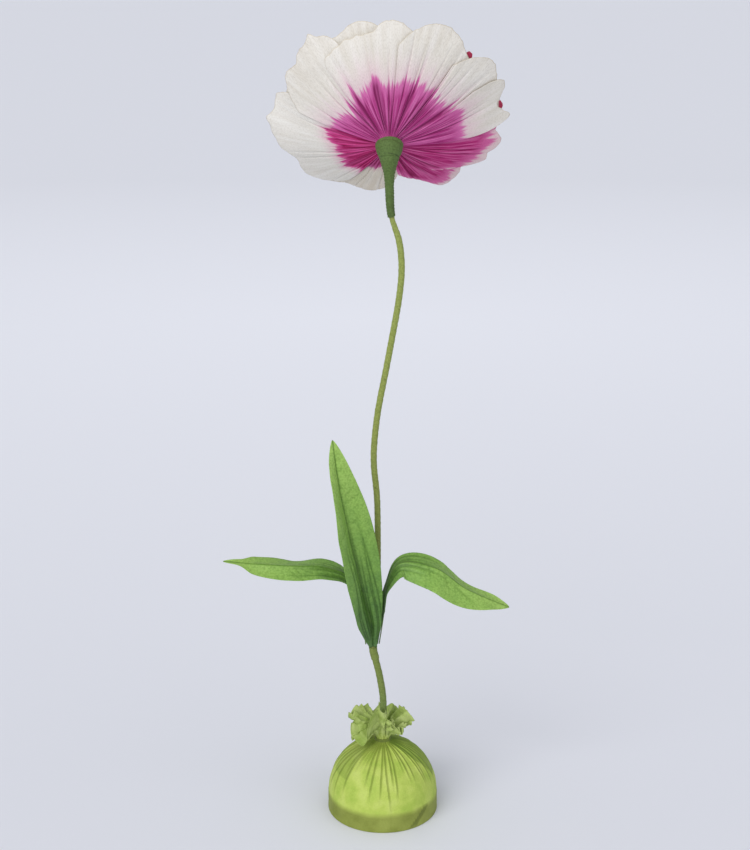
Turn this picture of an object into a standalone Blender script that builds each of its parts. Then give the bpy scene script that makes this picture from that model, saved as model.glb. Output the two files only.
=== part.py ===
"""Tall free-standing crepe paper flower: a weighted, tissue-wrapped base, a taped rod
stem with three wired leaves, and a large cupped flower head that faces up and away.

Metres, +Z up. The origin is the middle of the base's underside.
"""

import math

import bpy
import numpy as np
from mathutils import Vector

# ---------------------------------------------------------------- driving dimensions
SHEET = 0.0008            # thickness of a crepe petal, doubled and pleated
LEAF_SHEET = 0.0009       # two layers of leaf paper
LEAF_TIP = 0.0012         # half width of the blunt tip
WIRE_RADIUS = 0.0008      # of the paper-covered wire down each leaf
GAP = 0.0003              # clearance between pieces that touch

DISC_RADIUS = 0.0838
DISC_HEIGHT = 0.0265
DOME_RADIUS = 0.0825
WRAP_RADIUS = 0.0855      # outside of the tissue round the disc
WRAP_SHEET = 0.0009
HEM = 0.0012              # the bend where the tissue turns under the disc
NECK_HEIGHT = 0.1145
NECK_RADIUS = 0.0098
FRILL_HEIGHT = 0.041      # mean rise of the frill above the neck
FRILL_REACH = 0.031       # mean spread of the frill past the neck
ROUND = 36                # segments round the base

ROD_RADIUS = 0.0025
STEM_RADIUS_LOW = 0.0052
STEM_RADIUS_HIGH = 0.0046
STEM_RADIUS_WAIST = 0.0037
STEM_SIDES = 8

HEAD_TILT = math.radians(51)           # the head's axis, measured from straight up
NECK_BEND = 0.032                      # radius on which the rod bends over to the head
NECK_TOP = Vector((0.0078, 0.0, 1.003))   # where that bend starts
CALYX_RADIUS = 0.0195
SLEEVE_RADIUS = 0.0062
CALYX_WALL = 0.0013

PETAL_ROOT_RADIUS = 0.0130
PETAL_ROOT_DEPTH = 0.007               # how far the gathered petals go into the calyx
CUP_START_ANGLE = math.radians(76)     # of a petal from the head's axis, at the calyx
CUP_TURN = math.radians(30)            # how much it turns up towards its rim
SHINGLE = 0.0016                       # a petal's edge lies this far over or under

# The stem's line, seen from the front: (across, height), on a gentle hand-bent curve.
STEM_LINE = [
    (0.0000, 0.006), (0.0000, 0.040), (0.0000, 0.078), (0.0000, 0.1115),
    (0.0008, 0.140), (0.0003, 0.185), (-0.0050, 0.222), (-0.0115, 0.251),
    (-0.0150, 0.270), (-0.0128, 0.310), (-0.0085, 0.380), (-0.0078, 0.440),
    (-0.0090, 0.510), (-0.0139, 0.572), (-0.0085, 0.638), (0.0039, 0.706),
    (0.0145, 0.765), (0.0222, 0.811), (0.0258, 0.854), (0.0222, 0.893),
    (0.0112, 0.929), (0.0085, 0.962),
]
BINDING = (0.250, 0.271)       # heights between which the leaves' roots are bound
SLEEVE_FOOT = 0.928            # height of the sleeve's lower end
WRAP_FOOT = 0.111
WRAP_TOP = 0.985

# ---------------------------------------------------------------- the head's own axes
FACE = Vector((0.0, math.sin(HEAD_TILT), math.cos(HEAD_TILT)))
ACROSS = Vector((1.0, 0.0, 0.0))
RISE = Vector((0.0, -math.cos(HEAD_TILT), math.sin(HEAD_TILT)))


def on_bend(angle):
    """A point of the rod's bend below the head."""
    return NECK_TOP + NECK_BEND * Vector((0, 1 - math.cos(angle), math.sin(angle)))


MOUTH = on_bend(HEAD_TILT)             # middle of the calyx's mouth


def clear_scene():
    for old in list(bpy.data.objects):
        bpy.data.objects.remove(old, do_unlink=True)


def material(name, colour, roughness, metallic=0.0):
    """A plain Principled material; the colour is linear RGB."""
    made = bpy.data.materials.new(name)
    made.use_nodes = True
    shader = made.node_tree.nodes["Principled BSDF"]
    shader.inputs["Base Color"].default_value = (*colour, 1.0)
    shader.inputs["Roughness"].default_value = roughness
    shader.inputs["Metallic"].default_value = metallic
    return made


def add_object(name, points, faces, finish, smooth=True):
    mesh = bpy.data.meshes.new(name)
    mesh.from_pydata([tuple(p) for p in points], [], faces)
    mesh.validate()
    if smooth:
        mesh.shade_smooth()
        mesh.set_sharp_from_angle(angle=math.radians(45))
    mesh.materials.append(finish)
    made = bpy.data.objects.new(name, mesh)
    bpy.context.scene.collection.objects.link(made)
    return made


def smooth_step(low, high, value):
    t = min(max((value - low) / (high - low), 0.0), 1.0)
    return t * t * (3 - 2 * t)


def spline(points, steps):
    """Catmull-Rom curve through the points, with that many steps a span."""
    points = [Vector(p) for p in points]
    ends = [2 * points[0] - points[1]] + points + [2 * points[-1] - points[-2]]
    line = []
    for a, b, c, d in zip(ends, ends[1:], ends[2:], ends[3:]):
        for k in range(steps):
            t = k / steps
            line.append(
                0.5 * (2 * b + (c - a) * t + (2 * a - 5 * b + 4 * c - d) * t**2
                       + (3 * b - a - 3 * c + d) * t**3)
            )
    return line + [points[-1]]


def at_fraction(line, t):
    """The point a fraction t along an evenly counted line, and its direction."""
    place = min(max(t, 0.0), 1.0) * (len(line) - 1)
    k = min(int(place), len(line) - 2)
    direction = (line[k + 1] - line[k]).normalized()
    return line[k].lerp(line[k + 1], place - k), direction


def even_line(line, count):
    """The same line with count points at equal distances."""
    walked = [0.0]
    for a, b in zip(line, line[1:]):
        walked.append(walked[-1] + (b - a).length)
    wanted = np.linspace(0, walked[-1], count)
    axes = [np.interp(wanted, walked, [p[i] for p in line]) for i in range(3)]
    return [Vector(p) for p in zip(*axes)]


# ---------------------------------------------------------------- solids of revolution
def turned(name, profile, finish, sides=ROUND, rim=None):
    """Turns a closed (radius, height) outline about Z; an end at radius 0 is a pole.

    rim(k, angle, radius, height) may move a point of the outline at an angle."""
    points, rows, faces = [], [], []
    for k, (radius, height) in enumerate(profile):
        if radius == 0:
            points.append((0, 0, height))
            rows.append([len(points) - 1] * sides)
            continue
        row = []
        for i in range(sides):
            angle = 2 * math.pi * i / sides
            r, z = rim(k, angle, radius, height) if rim else (radius, height)
            points.append((r * math.cos(angle), r * math.sin(angle), z))
            row.append(len(points) - 1)
        rows.append(row)
    open_ended = profile[0][0] == 0 and profile[-1][0] == 0
    pairs = list(zip(rows, rows[1:])) + ([] if open_ended else [(rows[-1], rows[0])])
    for low, high in pairs:
        for i in range(sides):
            j = (i + 1) % sides
            corners = list(dict.fromkeys((low[i], low[j], high[j], high[i])))
            if len(corners) > 2:
                faces.append(corners)
    return add_object(name, points, faces, finish)


# ---------------------------------------------------------------- swept rods and tubes
def sweep(name, line, outer, finish, inner=None, sides=STEM_SIDES, kept=None):
    """A round rod along a line, or a tube when inner is given.

    outer and inner give the radius at a point of the line. kept(point) picks the
    stretch that is made, so pieces on one line share its rings and stay concentric."""
    def rings(radius_at):
        made = []
        for k, point in enumerate(line):
            if kept and not kept(point):
                continue
            before = line[max(k - 1, 0)]
            after = line[min(k + 1, len(line) - 1)]
            along = (after - before).normalized()
            side = (ACROSS - along * ACROSS.dot(along)).normalized()
            up = along.cross(side)
            made.append([
                point + radius_at(point) * (math.cos(a) * side + math.sin(a) * up)
                for a in (2 * math.pi * i / sides for i in range(sides))
            ])
        return made

    shells = [rings(outer)] + ([rings(inner)] if inner else [])
    points = [p for shell in shells for ring in shell for p in ring]
    count = len(shells[0])
    faces = []
    for layer in range(len(shells)):
        start = layer * count * sides
        for k in range(count - 1):
            for i in range(sides):
                j = (i + 1) % sides
                quad = [start + k * sides + i, start + k * sides + j,
                        start + (k + 1) * sides + j, start + (k + 1) * sides + i]
                faces.append(quad if layer == 0 else quad[::-1])
    last = (count - 1) * sides
    if not inner:
        faces.append([i for i in range(sides)][::-1])
        faces.append([last + i for i in range(sides)])
    else:
        inside = count * sides
        for i in range(sides):
            j = (i + 1) % sides
            faces.append([inside + i, inside + j, j, i])
            faces.append([last + i, last + j, inside + last + j, inside + last + i])
    return add_object(name, points, faces, finish)


# ---------------------------------------------------------------- thin paper sheets
def sheet(name, middle, normal, rows, columns, thickness, finish):
    """A closed paper shell: a grid of middle points, thickened along their normals."""
    points = []
    for side in (0.5, -0.5):
        for i in range(rows):
            for j in range(columns):
                points.append(middle[i][j] + normal[i][j] * thickness * side)
    back = rows * columns
    faces = []
    for i in range(rows - 1):
        for j in range(columns - 1):
            a = i * columns + j
            quad = [a, a + columns, a + columns + 1, a + 1]
            faces.append(quad)
            faces.append([back + q for q in quad[::-1]])
    border = [j for j in range(columns)]
    border += [i * columns + columns - 1 for i in range(1, rows)]
    border += [(rows - 1) * columns + j for j in range(columns - 2, -1, -1)]
    border += [i * columns for i in range(rows - 2, 0, -1)]
    for a, b in zip(border, border[1:] + border[:1]):
        faces.append([a, b, back + b, back + a])
    return add_object(name, points, faces, finish)


# ---------------------------------------------------------------- base
def base(finish):
    hole = ROD_RADIUS + GAP + 0.0002
    low = WRAP_SHEET + GAP
    top = low + DISC_HEIGHT
    turned("base_disc", [
        (0, low), (DISC_RADIUS, low), (DISC_RADIUS, top), (hole, top),
        (hole, low + 0.004), (0, low + 0.004),
    ], finish["cement"])

    dome_low = top + GAP
    arc = [(DOME_RADIUS * math.cos(a), dome_low + DOME_RADIUS * math.sin(a))
           for a in np.linspace(0, math.radians(82), 7)]
    turned("base_dome", [(hole, dome_low)] + arc + [(hole, arc[-1][1])], finish["foam"])

    # The tissue: flat under the disc, up its side, over the dome, in to the tie, out
    # again as a frill; then back down the inside, one sheet's thickness in.
    over = DOME_RADIUS + WRAP_SHEET + 0.0018
    bend = math.asin(min((NECK_RADIUS + 0.006) / over, 1))
    outside = [(0, 0), (0.045, 0), (WRAP_RADIUS - HEM, 0), (WRAP_RADIUS, HEM),
               (WRAP_RADIUS, top)]
    outside += [(over * math.cos(a), top + 0.001 + over * math.sin(a))
                for a in np.linspace(math.radians(14), math.pi / 2 - bend, 5)]
    neck_row = len(outside)
    outside += [(NECK_RADIUS, NECK_HEIGHT), (NECK_RADIUS, NECK_HEIGHT + 0.003)]
    rise = [(0.10, 0.34), (0.32, 0.84), (0.66, 1.0), (0.98, 0.76), (1.08, 0.36)]
    outside += [(NECK_RADIUS + FRILL_REACH * across, NECK_HEIGHT + 0.003 + FRILL_HEIGHT * up)
                for across, up in rise]
    inside = []
    for k, (r, z) in enumerate(outside):
        if k < 2:
            inside.append((r, WRAP_SHEET))
        elif k <= 4:
            inward = WRAP_SHEET * (1.2 if k == 2 else 1.0)
            inside.append((WRAP_RADIUS - inward, [WRAP_SHEET, WRAP_SHEET * 1.2, top][k - 2]))
        elif k < neck_row:
            shrink = (over - WRAP_SHEET) / over
            inside.append((r * shrink, top + 0.001 + (z - top - 0.001) * shrink))
        else:
            # Past the tie the sheet turns over, so its inner face is set off squarely.
            before, after = outside[k - 1], outside[min(k + 1, len(outside) - 1)]
            run = math.hypot(after[0] - before[0], after[1] - before[1])
            inside.append((r - WRAP_SHEET * (after[1] - before[1]) / run,
                           z + WRAP_SHEET * (after[0] - before[0]) / run))
    profile = outside + inside[::-1]
    count = len(outside)

    def frill(k, angle, radius, height):
        row = k if k < count else 2 * count - 1 - k
        share = max(row - neck_row - 1, 0) / len(rise)
        lobes = 0.12 * math.sin(3 * angle + 0.6) + 0.08 * math.sin(6 * angle)
        spread = outside[row][0] * share * (lobes - 0.13 * math.cos(angle))
        drop = share * (0.006 * math.sin(5 * angle + 1.0) + 0.005 * math.sin(3 * angle))
        return radius + spread, height + drop

    turned("base_wrap", profile, finish["tissue"], rim=frill)

    tie = [(NECK_RADIUS + 0.0015 + 0.0009 * math.cos(a),
            NECK_HEIGHT + 0.0015 + 0.0009 * math.sin(a))
           for a in np.linspace(0, 2 * math.pi, 6, endpoint=False)]
    turned("neck_tie", tie, finish["thread"], sides=18)


# ---------------------------------------------------------------- stem
def stem_line():
    """The rod's line from the disc to the flower; it bends into the head's axis."""
    rise = [(x, 0, z) for x, z in STEM_LINE]
    bend = [on_bend(HEAD_TILT * share) for share in (0.0, 0.32, 0.64, 0.93)]
    return spline(rise + bend + [MOUTH + FACE * 0.010], 2)


def stem_radius(point):
    blend = smooth_step(0.25, 0.40, point.z)
    radius = STEM_RADIUS_LOW + (STEM_RADIUS_HIGH - STEM_RADIUS_LOW) * blend
    return radius + (STEM_RADIUS_WAIST - radius) * smooth_step(0.895, 0.925, point.z)


def stem(finish):
    line = stem_line()
    sweep("stem_rod", line, lambda p: ROD_RADIUS, finish["steel"])
    sweep("stem_wrap", line, stem_radius, finish["tape"],
          inner=lambda p: ROD_RADIUS + GAP, kept=lambda p: WRAP_FOOT < p.z < WRAP_TOP)
    sweep("leaf_tape", line, lambda p: stem_radius(p) + GAP + 0.0010, finish["tape"],
          inner=lambda p: stem_radius(p) + GAP,
          kept=lambda p: BINDING[0] < p.z < BINDING[1])


def calyx(finish):
    """Tape wound over the petals' gathered roots, down on to a sleeve on the stem."""
    depths = [-0.110, -0.070, -0.055, -0.040, -0.022, -0.012, -0.002]
    radii = [0.0052, SLEEVE_RADIUS, 0.0064, 0.0078, 0.0134, 0.0176, CALYX_RADIUS]

    def depth(point):
        """Distance down from the mouth; the last stretch lies along the head's axis."""
        return -(point - MOUTH).length

    def outside(point):
        return float(np.interp(depth(point), depths, radii))

    def inside(point):
        clear = STEM_RADIUS_WAIST + GAP
        if depth(point) < -0.036:
            return clear
        return max(outside(point) - CALYX_WALL, clear)

    def wound(point):
        return point.z > SLEEVE_FOOT and (point - MOUTH).dot(FACE) < -0.0015

    sweep("calyx_wrap", stem_line(), outside, finish["calyx"], inner=inside, sides=16,
          kept=wound)


# ---------------------------------------------------------------- leaves
# Each leaf: its midrib's points, the way its upper face looks at four stations, how much
# of it is a narrow stalk, and for its left and right halves, seen on the upper face, the
# widest width and how far the half folds up from flat (degrees).
LEAVES = {
    "leaf_centre": dict(
        rib=[(-0.0150, -0.0085, 0.2750), (-0.0170, -0.0190, 0.3120),
             (-0.0270, -0.0290, 0.3600), (-0.0440, -0.0400, 0.4400),
             (-0.0550, -0.0440, 0.4950), (-0.0650, -0.0460, 0.5500),
             (-0.0730, -0.0460, 0.6140)],
        facing=[(0.1, -1, 0), (0.35, -1, 0.1), (0.35, -1, 0.2), (0.2, -1, 0.2)],
        stalk=0.0, half=(0.0350, 0.0390), fold=(74, 4)),
    "leaf_left": dict(
        rib=[(-0.0240, -0.0010, 0.2750), (-0.0290, 0.0010, 0.3150),
             (-0.0480, 0.0020, 0.3720), (-0.0850, 0.0000, 0.3990),
             (-0.1300, -0.0020, 0.4030), (-0.1850, -0.0030, 0.4060),
             (-0.2390, -0.0030, 0.4110)],
        facing=[(1, -0.2, 0.3), (0.8, -0.4, 0.8), (0.0, -0.25, 1.0), (0.1, -0.6, 0.8)],
        stalk=0.20, half=(0.0270, 0.0280), fold=(-34, -30)),
    "leaf_right": dict(
        rib=[(-0.0075, 0.0010, 0.2750), (-0.0010, 0.0020, 0.3200),
             (0.0045, 0.0020, 0.3700), (0.0260, 0.0000, 0.4080),
             (0.0800, -0.0060, 0.4010), (0.1250, -0.0090, 0.3690),
             (0.1900, -0.0080, 0.3390)],
        facing=[(-1, -0.3, 0.2), (-0.7, -0.6, 0.4), (0.2, -0.50, 0.9), (0.5, -0.5, 0.8)],
        stalk=0.24, half=(0.0270, 0.0370), fold=(-44, -16)),
}


SHEATH_FOLD = math.radians(42)      # of each half where the leaf clasps the stem


def leaf_frame(spec, line, t):
    """Point, direction, facing and right-hand side of a leaf, a fraction along it."""
    point, along = at_fraction(line, t)
    looks = [Vector(v).normalized() for v in spec["facing"]]
    facing, _ = at_fraction(looks, t)
    facing = (facing - along * facing.dot(along)).normalized()
    return point, along, facing, along.cross(facing)


def leaf_half_width(spec, half, t):
    """A lance-shaped blade: a narrow sheath at the node, widest past its middle."""
    along_blade = max(t - spec["stalk"], 0) / (1 - spec["stalk"])
    blade = math.sin(math.pi * along_blade**1.2) ** 0.8 if 0 < along_blade < 1 else 0.0
    sheath = 0.0062 * (1 - smooth_step(0.0, 0.25 + spec["stalk"], t))
    return max(spec["half"][half] * blade, sheath) + LEAF_TIP


def leaf(name, spec, finish, rows=12, half_columns=3):
    line = even_line(spline(spec["rib"], 8), 49)
    middle, normal, wire = [], [], []
    for i in range(rows):
        t = i / (rows - 1)
        point, along, facing, right = leaf_frame(spec, line, t)
        sheath = 1 - smooth_step(0.05, 0.35, t)
        row, looks = [], []
        for j in range(half_columns, -half_columns - 1, -1):
            half = 1 if j > 0 else 0
            share = abs(j) / half_columns
            way = right if j > 0 else -right
            width = leaf_half_width(spec, half, t)
            fold = math.radians(spec["fold"][half]) * (1 - sheath) + SHEATH_FOLD * sheath
            fold *= smooth_step(0.0, 0.2, 1 - t)
            curl = fold * (1 - 0.35 * share)
            row.append(point + width * share * (way * math.cos(curl) + facing * math.sin(curl)))
            slope = 0 if j == 0 else fold * (0.7 if share > 0.5 else 1)
            looks.append((facing * math.cos(slope) - way * math.sin(slope)).normalized())
        middle.append(row)
        normal.append(looks)
        wire.append(point - facing * (LEAF_SHEET / 2 + WIRE_RADIUS + 0.0012))
    sheet(name, middle, normal, rows, 2 * half_columns + 1, LEAF_SHEET, finish["leaf"])

    # The wire is glued along the back of the fold and stops just short of the tip.
    wire[-1] = wire[-2].lerp(wire[-1], 0.8)
    sweep(name.replace("leaf", "leaf_wire"), wire, lambda p: WIRE_RADIUS, finish["wire"],
          sides=5)


# ---------------------------------------------------------------- flower head
def cup_angle(run):
    """Angle of the sheet from the head's axis, a distance past the calyx's mouth."""
    flare = smooth_step(-PETAL_ROOT_DEPTH, 0.010, run)
    turn = CUP_TURN * max(run - 0.010, 0) / 0.175
    return math.radians(4) + flare * (CUP_START_ANGLE - math.radians(4)) - turn


CUP_STEP = 0.001
CUP_RUNS = [-PETAL_ROOT_DEPTH + CUP_STEP * k for k in range(240)]
CUP_RADII = [PETAL_ROOT_RADIUS]
CUP_HEIGHTS = [-PETAL_ROOT_DEPTH]
for distance in CUP_RUNS[1:]:
    CUP_RADII.append(CUP_RADII[-1] + CUP_STEP * math.sin(cup_angle(distance)))
    CUP_HEIGHTS.append(CUP_HEIGHTS[-1] + CUP_STEP * math.cos(cup_angle(distance)))


def flatness(angle):
    """The lower petals hang flatter than the upper ones."""
    return 1 - 0.34 * smooth_step(-0.25, 0.40, -math.sin(angle))


def cup_point(angle, run, lift):
    """A point of the cup, lifted off its back by lift; and its outward normal."""
    radius = float(np.interp(run, CUP_RUNS, CUP_RADII))
    height = float(np.interp(run, CUP_RUNS, CUP_HEIGHTS))
    slope = cup_angle(run)
    scale = flatness(angle) if height > 0 else 1.0
    outward = ACROSS * math.cos(angle) + RISE * math.sin(angle)
    rise = math.cos(slope) * scale
    back = (outward * rise - FACE * math.sin(slope)).normalized()
    return MOUTH + outward * radius + FACE * height * scale + back * lift, back


# Each petal: middle and half angle about the head (degrees, 0 to the right, 90 up),
# length past the calyx, how far its whole sheet is lifted, and which edge is on top:
# 1 for the edge at the larger angle, -1 for the other, 0 for neither.
OUTER_PETALS = [
    (-3, 25, 0.180, 0.0014, 0), (29, 20, 0.172, 0.0, 1), (62, 23, 0.170, 0.0, 1),
    (101, 29, 0.163, 0.0, 1), (146, 27, 0.166, 0.0, 1), (200, 41, 0.180, 0.0, 1),
    (260, 31, 0.148, -0.0014, 0), (304, 22, 0.164, 0.0, -1), (331, 20, 0.189, 0.0, -1),
]
INNER_PETALS = [
    (107, 34, 0.160), (52, 34, 0.150), (352, 36, 0.166), (292, 36, 0.150),
    (232, 36, 0.150), (160, 36, 0.158),
]
INNER_LIFT = -0.0068
ROOT_RUNS = [-PETAL_ROOT_DEPTH, 0.003, 0.014]


def petal(name, spec, finish, base_lift=0.0, step=8.0):
    centre, half, length, lift, on_top = spec
    columns = 2 * max(round(half / step), 3) + 1
    shares = [0.33, 0.66, 0.88, 1.0]
    rows = len(ROOT_RUNS) + len(shares)
    middle = [[None] * columns for _ in range(rows)]
    normal = [[None] * columns for _ in range(rows)]
    for j in range(columns):
        u = -1 + 2 * j / (columns - 1)
        angle = math.radians(centre + half * u)
        rim = length * (1 - 0.17 * abs(u) ** 2.6)
        raised = base_lift + lift + on_top * SHINGLE * u
        runs = ROOT_RUNS + [0.014 + (rim - 0.014) * s for s in shares]
        for i, run in enumerate(runs):
            middle[i][j], normal[i][j] = cup_point(angle, run, raised)
    sheet(name, middle, normal, rows, columns, SHEET, finish)


def on_face(name, profile, finish, sides):
    """A turned piece whose height runs along the head's axis from the calyx's mouth."""
    made = turned(name, profile, finish, sides=sides)
    turn = Vector((0, 0, 1)).rotation_difference(FACE)
    made.rotation_mode = "QUATERNION"
    made.rotation_quaternion = turn
    made.location = MOUTH
    return made


def flower_head(finish):
    for k, spec in enumerate(OUTER_PETALS):
        petal(f"outer_petal_{k + 1}", spec, finish["petal"])
    for k, (centre, half, length) in enumerate(INNER_PETALS):
        petal(f"inner_petal_{k + 1}", (centre, half, length, 0.0, 1), finish["petal"],
              base_lift=INNER_LIFT)
    bud = [(0.0, 0.0105)]
    bud += [(0.013 * math.cos(a), 0.024 + 0.013 * math.sin(a))
            for a in np.linspace(math.radians(-70), math.radians(70), 6)]
    on_face("centre_bud", bud + [(0, 0.0372)], finish["bud"], sides=16)
    inner = [(0.0100, 0.0110), (0.0155, 0.0180), (0.0230, 0.0300), (0.0310, 0.0440)]
    outer = [(r + 0.0008, z - 0.0005) for r, z in inner]
    on_face("stamen_ring", outer + inner[::-1], finish["stamen"], sides=20)


# ---------------------------------------------------------------- build
clear_scene()
FINISHES = {
    "cement": material("cement plaster", (0.52, 0.51, 0.48), 0.85),
    "foam": material("expanded foam", (0.86, 0.86, 0.84), 0.75),
    "tissue": material("green tissue paper", (0.48, 0.60, 0.12), 0.65),
    "thread": material("waxed thread", (0.20, 0.26, 0.06), 0.70),
    "steel": material("galvanised rod", (0.55, 0.56, 0.58), 0.40, 1.0),
    "tape": material("olive floral tape", (0.22, 0.29, 0.07), 0.80),
    "calyx": material("dark floral tape", (0.09, 0.16, 0.04), 0.80),
    "wire": material("paper-covered wire", (0.16, 0.27, 0.08), 0.75),
    "leaf": material("leaf paper", (0.28, 0.46, 0.09), 0.60),
    "petal": material("crepe paper", (0.84, 0.79, 0.72), 0.85),
    "bud": material("rolled crepe paper", (0.35, 0.48, 0.10), 0.85),
    "stamen": material("fringed crepe paper", (0.62, 0.08, 0.20), 0.85),
}
base(FINISHES)
stem(FINISHES)
calyx(FINISHES)
for leaf_name, leaf_spec in LEAVES.items():
    leaf(leaf_name, leaf_spec, FINISHES)
flower_head(FINISHES)
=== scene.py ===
import math

import bpy
import numpy as np
from mathutils import Matrix, Vector, noise


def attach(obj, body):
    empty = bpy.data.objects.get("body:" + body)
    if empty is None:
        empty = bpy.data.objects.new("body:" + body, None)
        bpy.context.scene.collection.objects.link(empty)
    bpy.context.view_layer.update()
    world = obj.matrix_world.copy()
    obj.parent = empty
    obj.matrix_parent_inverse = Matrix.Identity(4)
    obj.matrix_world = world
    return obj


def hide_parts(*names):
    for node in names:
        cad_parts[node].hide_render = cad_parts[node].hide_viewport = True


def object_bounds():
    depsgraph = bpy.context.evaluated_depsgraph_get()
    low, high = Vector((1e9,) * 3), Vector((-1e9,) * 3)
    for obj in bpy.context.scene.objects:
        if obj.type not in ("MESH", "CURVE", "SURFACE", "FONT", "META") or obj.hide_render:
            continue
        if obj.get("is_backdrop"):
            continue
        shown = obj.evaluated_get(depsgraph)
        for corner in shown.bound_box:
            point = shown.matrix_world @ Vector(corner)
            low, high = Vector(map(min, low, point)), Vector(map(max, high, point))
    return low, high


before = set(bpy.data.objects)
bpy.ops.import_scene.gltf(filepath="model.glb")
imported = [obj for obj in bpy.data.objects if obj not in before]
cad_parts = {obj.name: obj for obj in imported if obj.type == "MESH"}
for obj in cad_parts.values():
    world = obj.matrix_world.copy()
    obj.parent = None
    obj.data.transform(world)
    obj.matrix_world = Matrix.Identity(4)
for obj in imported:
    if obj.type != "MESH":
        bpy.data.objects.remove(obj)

for name in ("Cube", "Light", "Camera"):
    if name in bpy.data.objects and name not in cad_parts:
        bpy.data.objects.remove(bpy.data.objects[name], do_unlink=True)
cad_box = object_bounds()


# ---------------------------------------------------------------- the studio
# A plain pale floor that runs back out of sight, under a broad soft key light from the
# upper left and a weaker fill from the right, with bright even light all round.
FLOOR_REACH = 60.0


def linear(code):
    """An sRGB hex colour as linear RGBA."""
    parts = [int(code[i:i + 2], 16) / 255 for i in (1, 3, 5)]
    return (*[p / 12.92 if p <= 0.04045 else ((p + 0.055) / 1.055) ** 2.4 for p in parts], 1.0)


def add_node(tree, kind, inputs=None, out=0, **settings):
    """Adds a node; inputs are values or the sockets that feed it. Gives one output."""
    made = tree.nodes.new(kind)
    for key, value in settings.items():
        setattr(made, key, value)
    for key, value in (inputs or {}).items():
        if isinstance(value, bpy.types.NodeSocket):
            tree.links.new(value, made.inputs[key])
        else:
            made.inputs[key].default_value = value
    return made.outputs[out] if made.outputs else made


def new_material(name, roughness=0.8, specular=0.5):
    """A Principled material with uniform values set on its shader; gives it, its tree and shader."""
    made = bpy.data.materials.new(name)
    made.use_nodes = True
    shader = made.node_tree.nodes["Principled BSDF"]
    shader.inputs["Roughness"].default_value = roughness
    shader.inputs["Specular IOR Level"].default_value = specular
    return made, made.node_tree, shader


def ramp(tree, factor, stops):
    """A colour ramp of (place, hex colour) stops, driven by factor."""
    made = tree.nodes.new("ShaderNodeValToRGB")
    tree.links.new(factor, made.inputs["Fac"])
    while len(made.color_ramp.elements) < len(stops):
        made.color_ramp.elements.new(0.5)
    for element, (place, code) in zip(made.color_ramp.elements, stops):
        element.position = place
        element.color = linear(code)
    return made.outputs["Color"]


def add_object(mesh, material):
    """Links a finished mesh as a piece of its own, at the origin."""
    made = bpy.data.objects.new(mesh.name, mesh)
    bpy.context.scene.collection.objects.link(made)
    if material:
        made.data.materials.append(material)
    return made


paint, tree, shader = new_material("matt white studio floor", roughness=0.9, specular=0.2)
where = add_node(tree, "ShaderNodeTexCoord", out="Object")
# Painted pool of light: the floor colour is lighter in a broad patch behind the flower and darker towards
# the camera and far away.
painted_light_pool = add_node(tree, "ShaderNodeTexGradient", {"Vector": add_node(
    tree, "ShaderNodeMapping", {"Vector": where, "Location": (0.0, -1.0, 0.0),
                                "Scale": (0.18, 0.30, 1.0)})}, out="Fac",
                 gradient_type="SPHERICAL")
tint = ramp(tree, painted_light_pool, [(0.0, "#e6e7ec"), (1.0, "#f3f4f9")])
tree.links.new(tint, shader.inputs["Base Color"])
mesh = bpy.data.meshes.new("studio_floor")
mesh.from_pydata([(x, y, 0) for x, y in ((-1, -1), (1, -1), (1, 1), (-1, 1))], [], [[0, 1, 2, 3]])
mesh.transform(Matrix.Scale(FLOOR_REACH, 4))
floor = add_object(mesh, paint)
floor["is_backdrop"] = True

world = bpy.data.worlds.new("studio")
world.use_nodes = True
world.node_tree.nodes["Background"].inputs["Color"].default_value = linear("#eef1fa")
world.node_tree.nodes["Background"].inputs["Strength"].default_value = 0.60
bpy.context.scene.world = world
bpy.context.scene.view_settings.view_transform = "Standard"

for name, strength, spread, tilt in (
    ("key light", 1.75, 50, (60, 0, -32)),
    ("fill light", 0.45, 60, (66, 0, 48)),
):
    light = bpy.data.lights.new(name, "SUN")
    light.energy = strength
    light.angle = math.radians(spread)
    lamp = bpy.data.objects.new(name, light)
    lamp.rotation_euler = [math.radians(a) for a in tilt]
    bpy.context.scene.collection.objects.link(lamp)

lens = bpy.data.cameras.new("camera")
lens.lens = 69.25
lens.clip_end = 200
camera = bpy.data.objects.new("camera", lens)
camera.location = (-0.012, -2.28, 1.32)
camera.rotation_euler = (math.radians(73), 0, 0)
bpy.context.scene.collection.objects.link(camera)
bpy.context.scene.camera = camera


# ---------------------------------------------------------------- weight and foam dome
# A cast cement disc is the weight, and a half ball of expanded foam on it holds the rod.
# Both are hidden by the tissue; they show only where it is thin.
cement, tree, shader = new_material("cast cement", roughness=0.9, specular=0.3)
where = add_node(tree, "ShaderNodeTexCoord", out="Object")
grit = add_node(tree, "ShaderNodeTexNoise", {"Vector": where, "Scale": 400.0, "Detail": 6.0})
tree.links.new(ramp(tree, grit, [(0.3, "#8f8d87"), (0.7, "#b9b7b0")]), shader.inputs["Base Color"])
bump = add_node(tree, "ShaderNodeBump", {"Height": grit, "Strength": 0.5, "Distance": 0.0006})
tree.links.new(bump, shader.inputs["Normal"])

# Beads about 4 mm across, pressed together: dimples at their borders, with painted shade darkening each
# bead's colour towards its border.
foam, tree, shader = new_material("expanded polystyrene", roughness=0.6, specular=0.4)
where = add_node(tree, "ShaderNodeTexCoord", out="Object")
beads = add_node(tree, "ShaderNodeTexVoronoi", {"Vector": where, "Scale": 250.0})
tree.links.new(ramp(tree, beads, [(0.0, "#fbfbf8"), (0.8, "#dcdcd6")]), shader.inputs["Base Color"])
bump = add_node(tree, "ShaderNodeBump", {"Height": beads, "Strength": 0.6, "Distance": 0.0008},
                invert=True)
tree.links.new(bump, shader.inputs["Normal"])
for name, finish in (("base_disc", cement), ("base_dome", foam)):
    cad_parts[name].material_slots[0].material = finish


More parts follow.
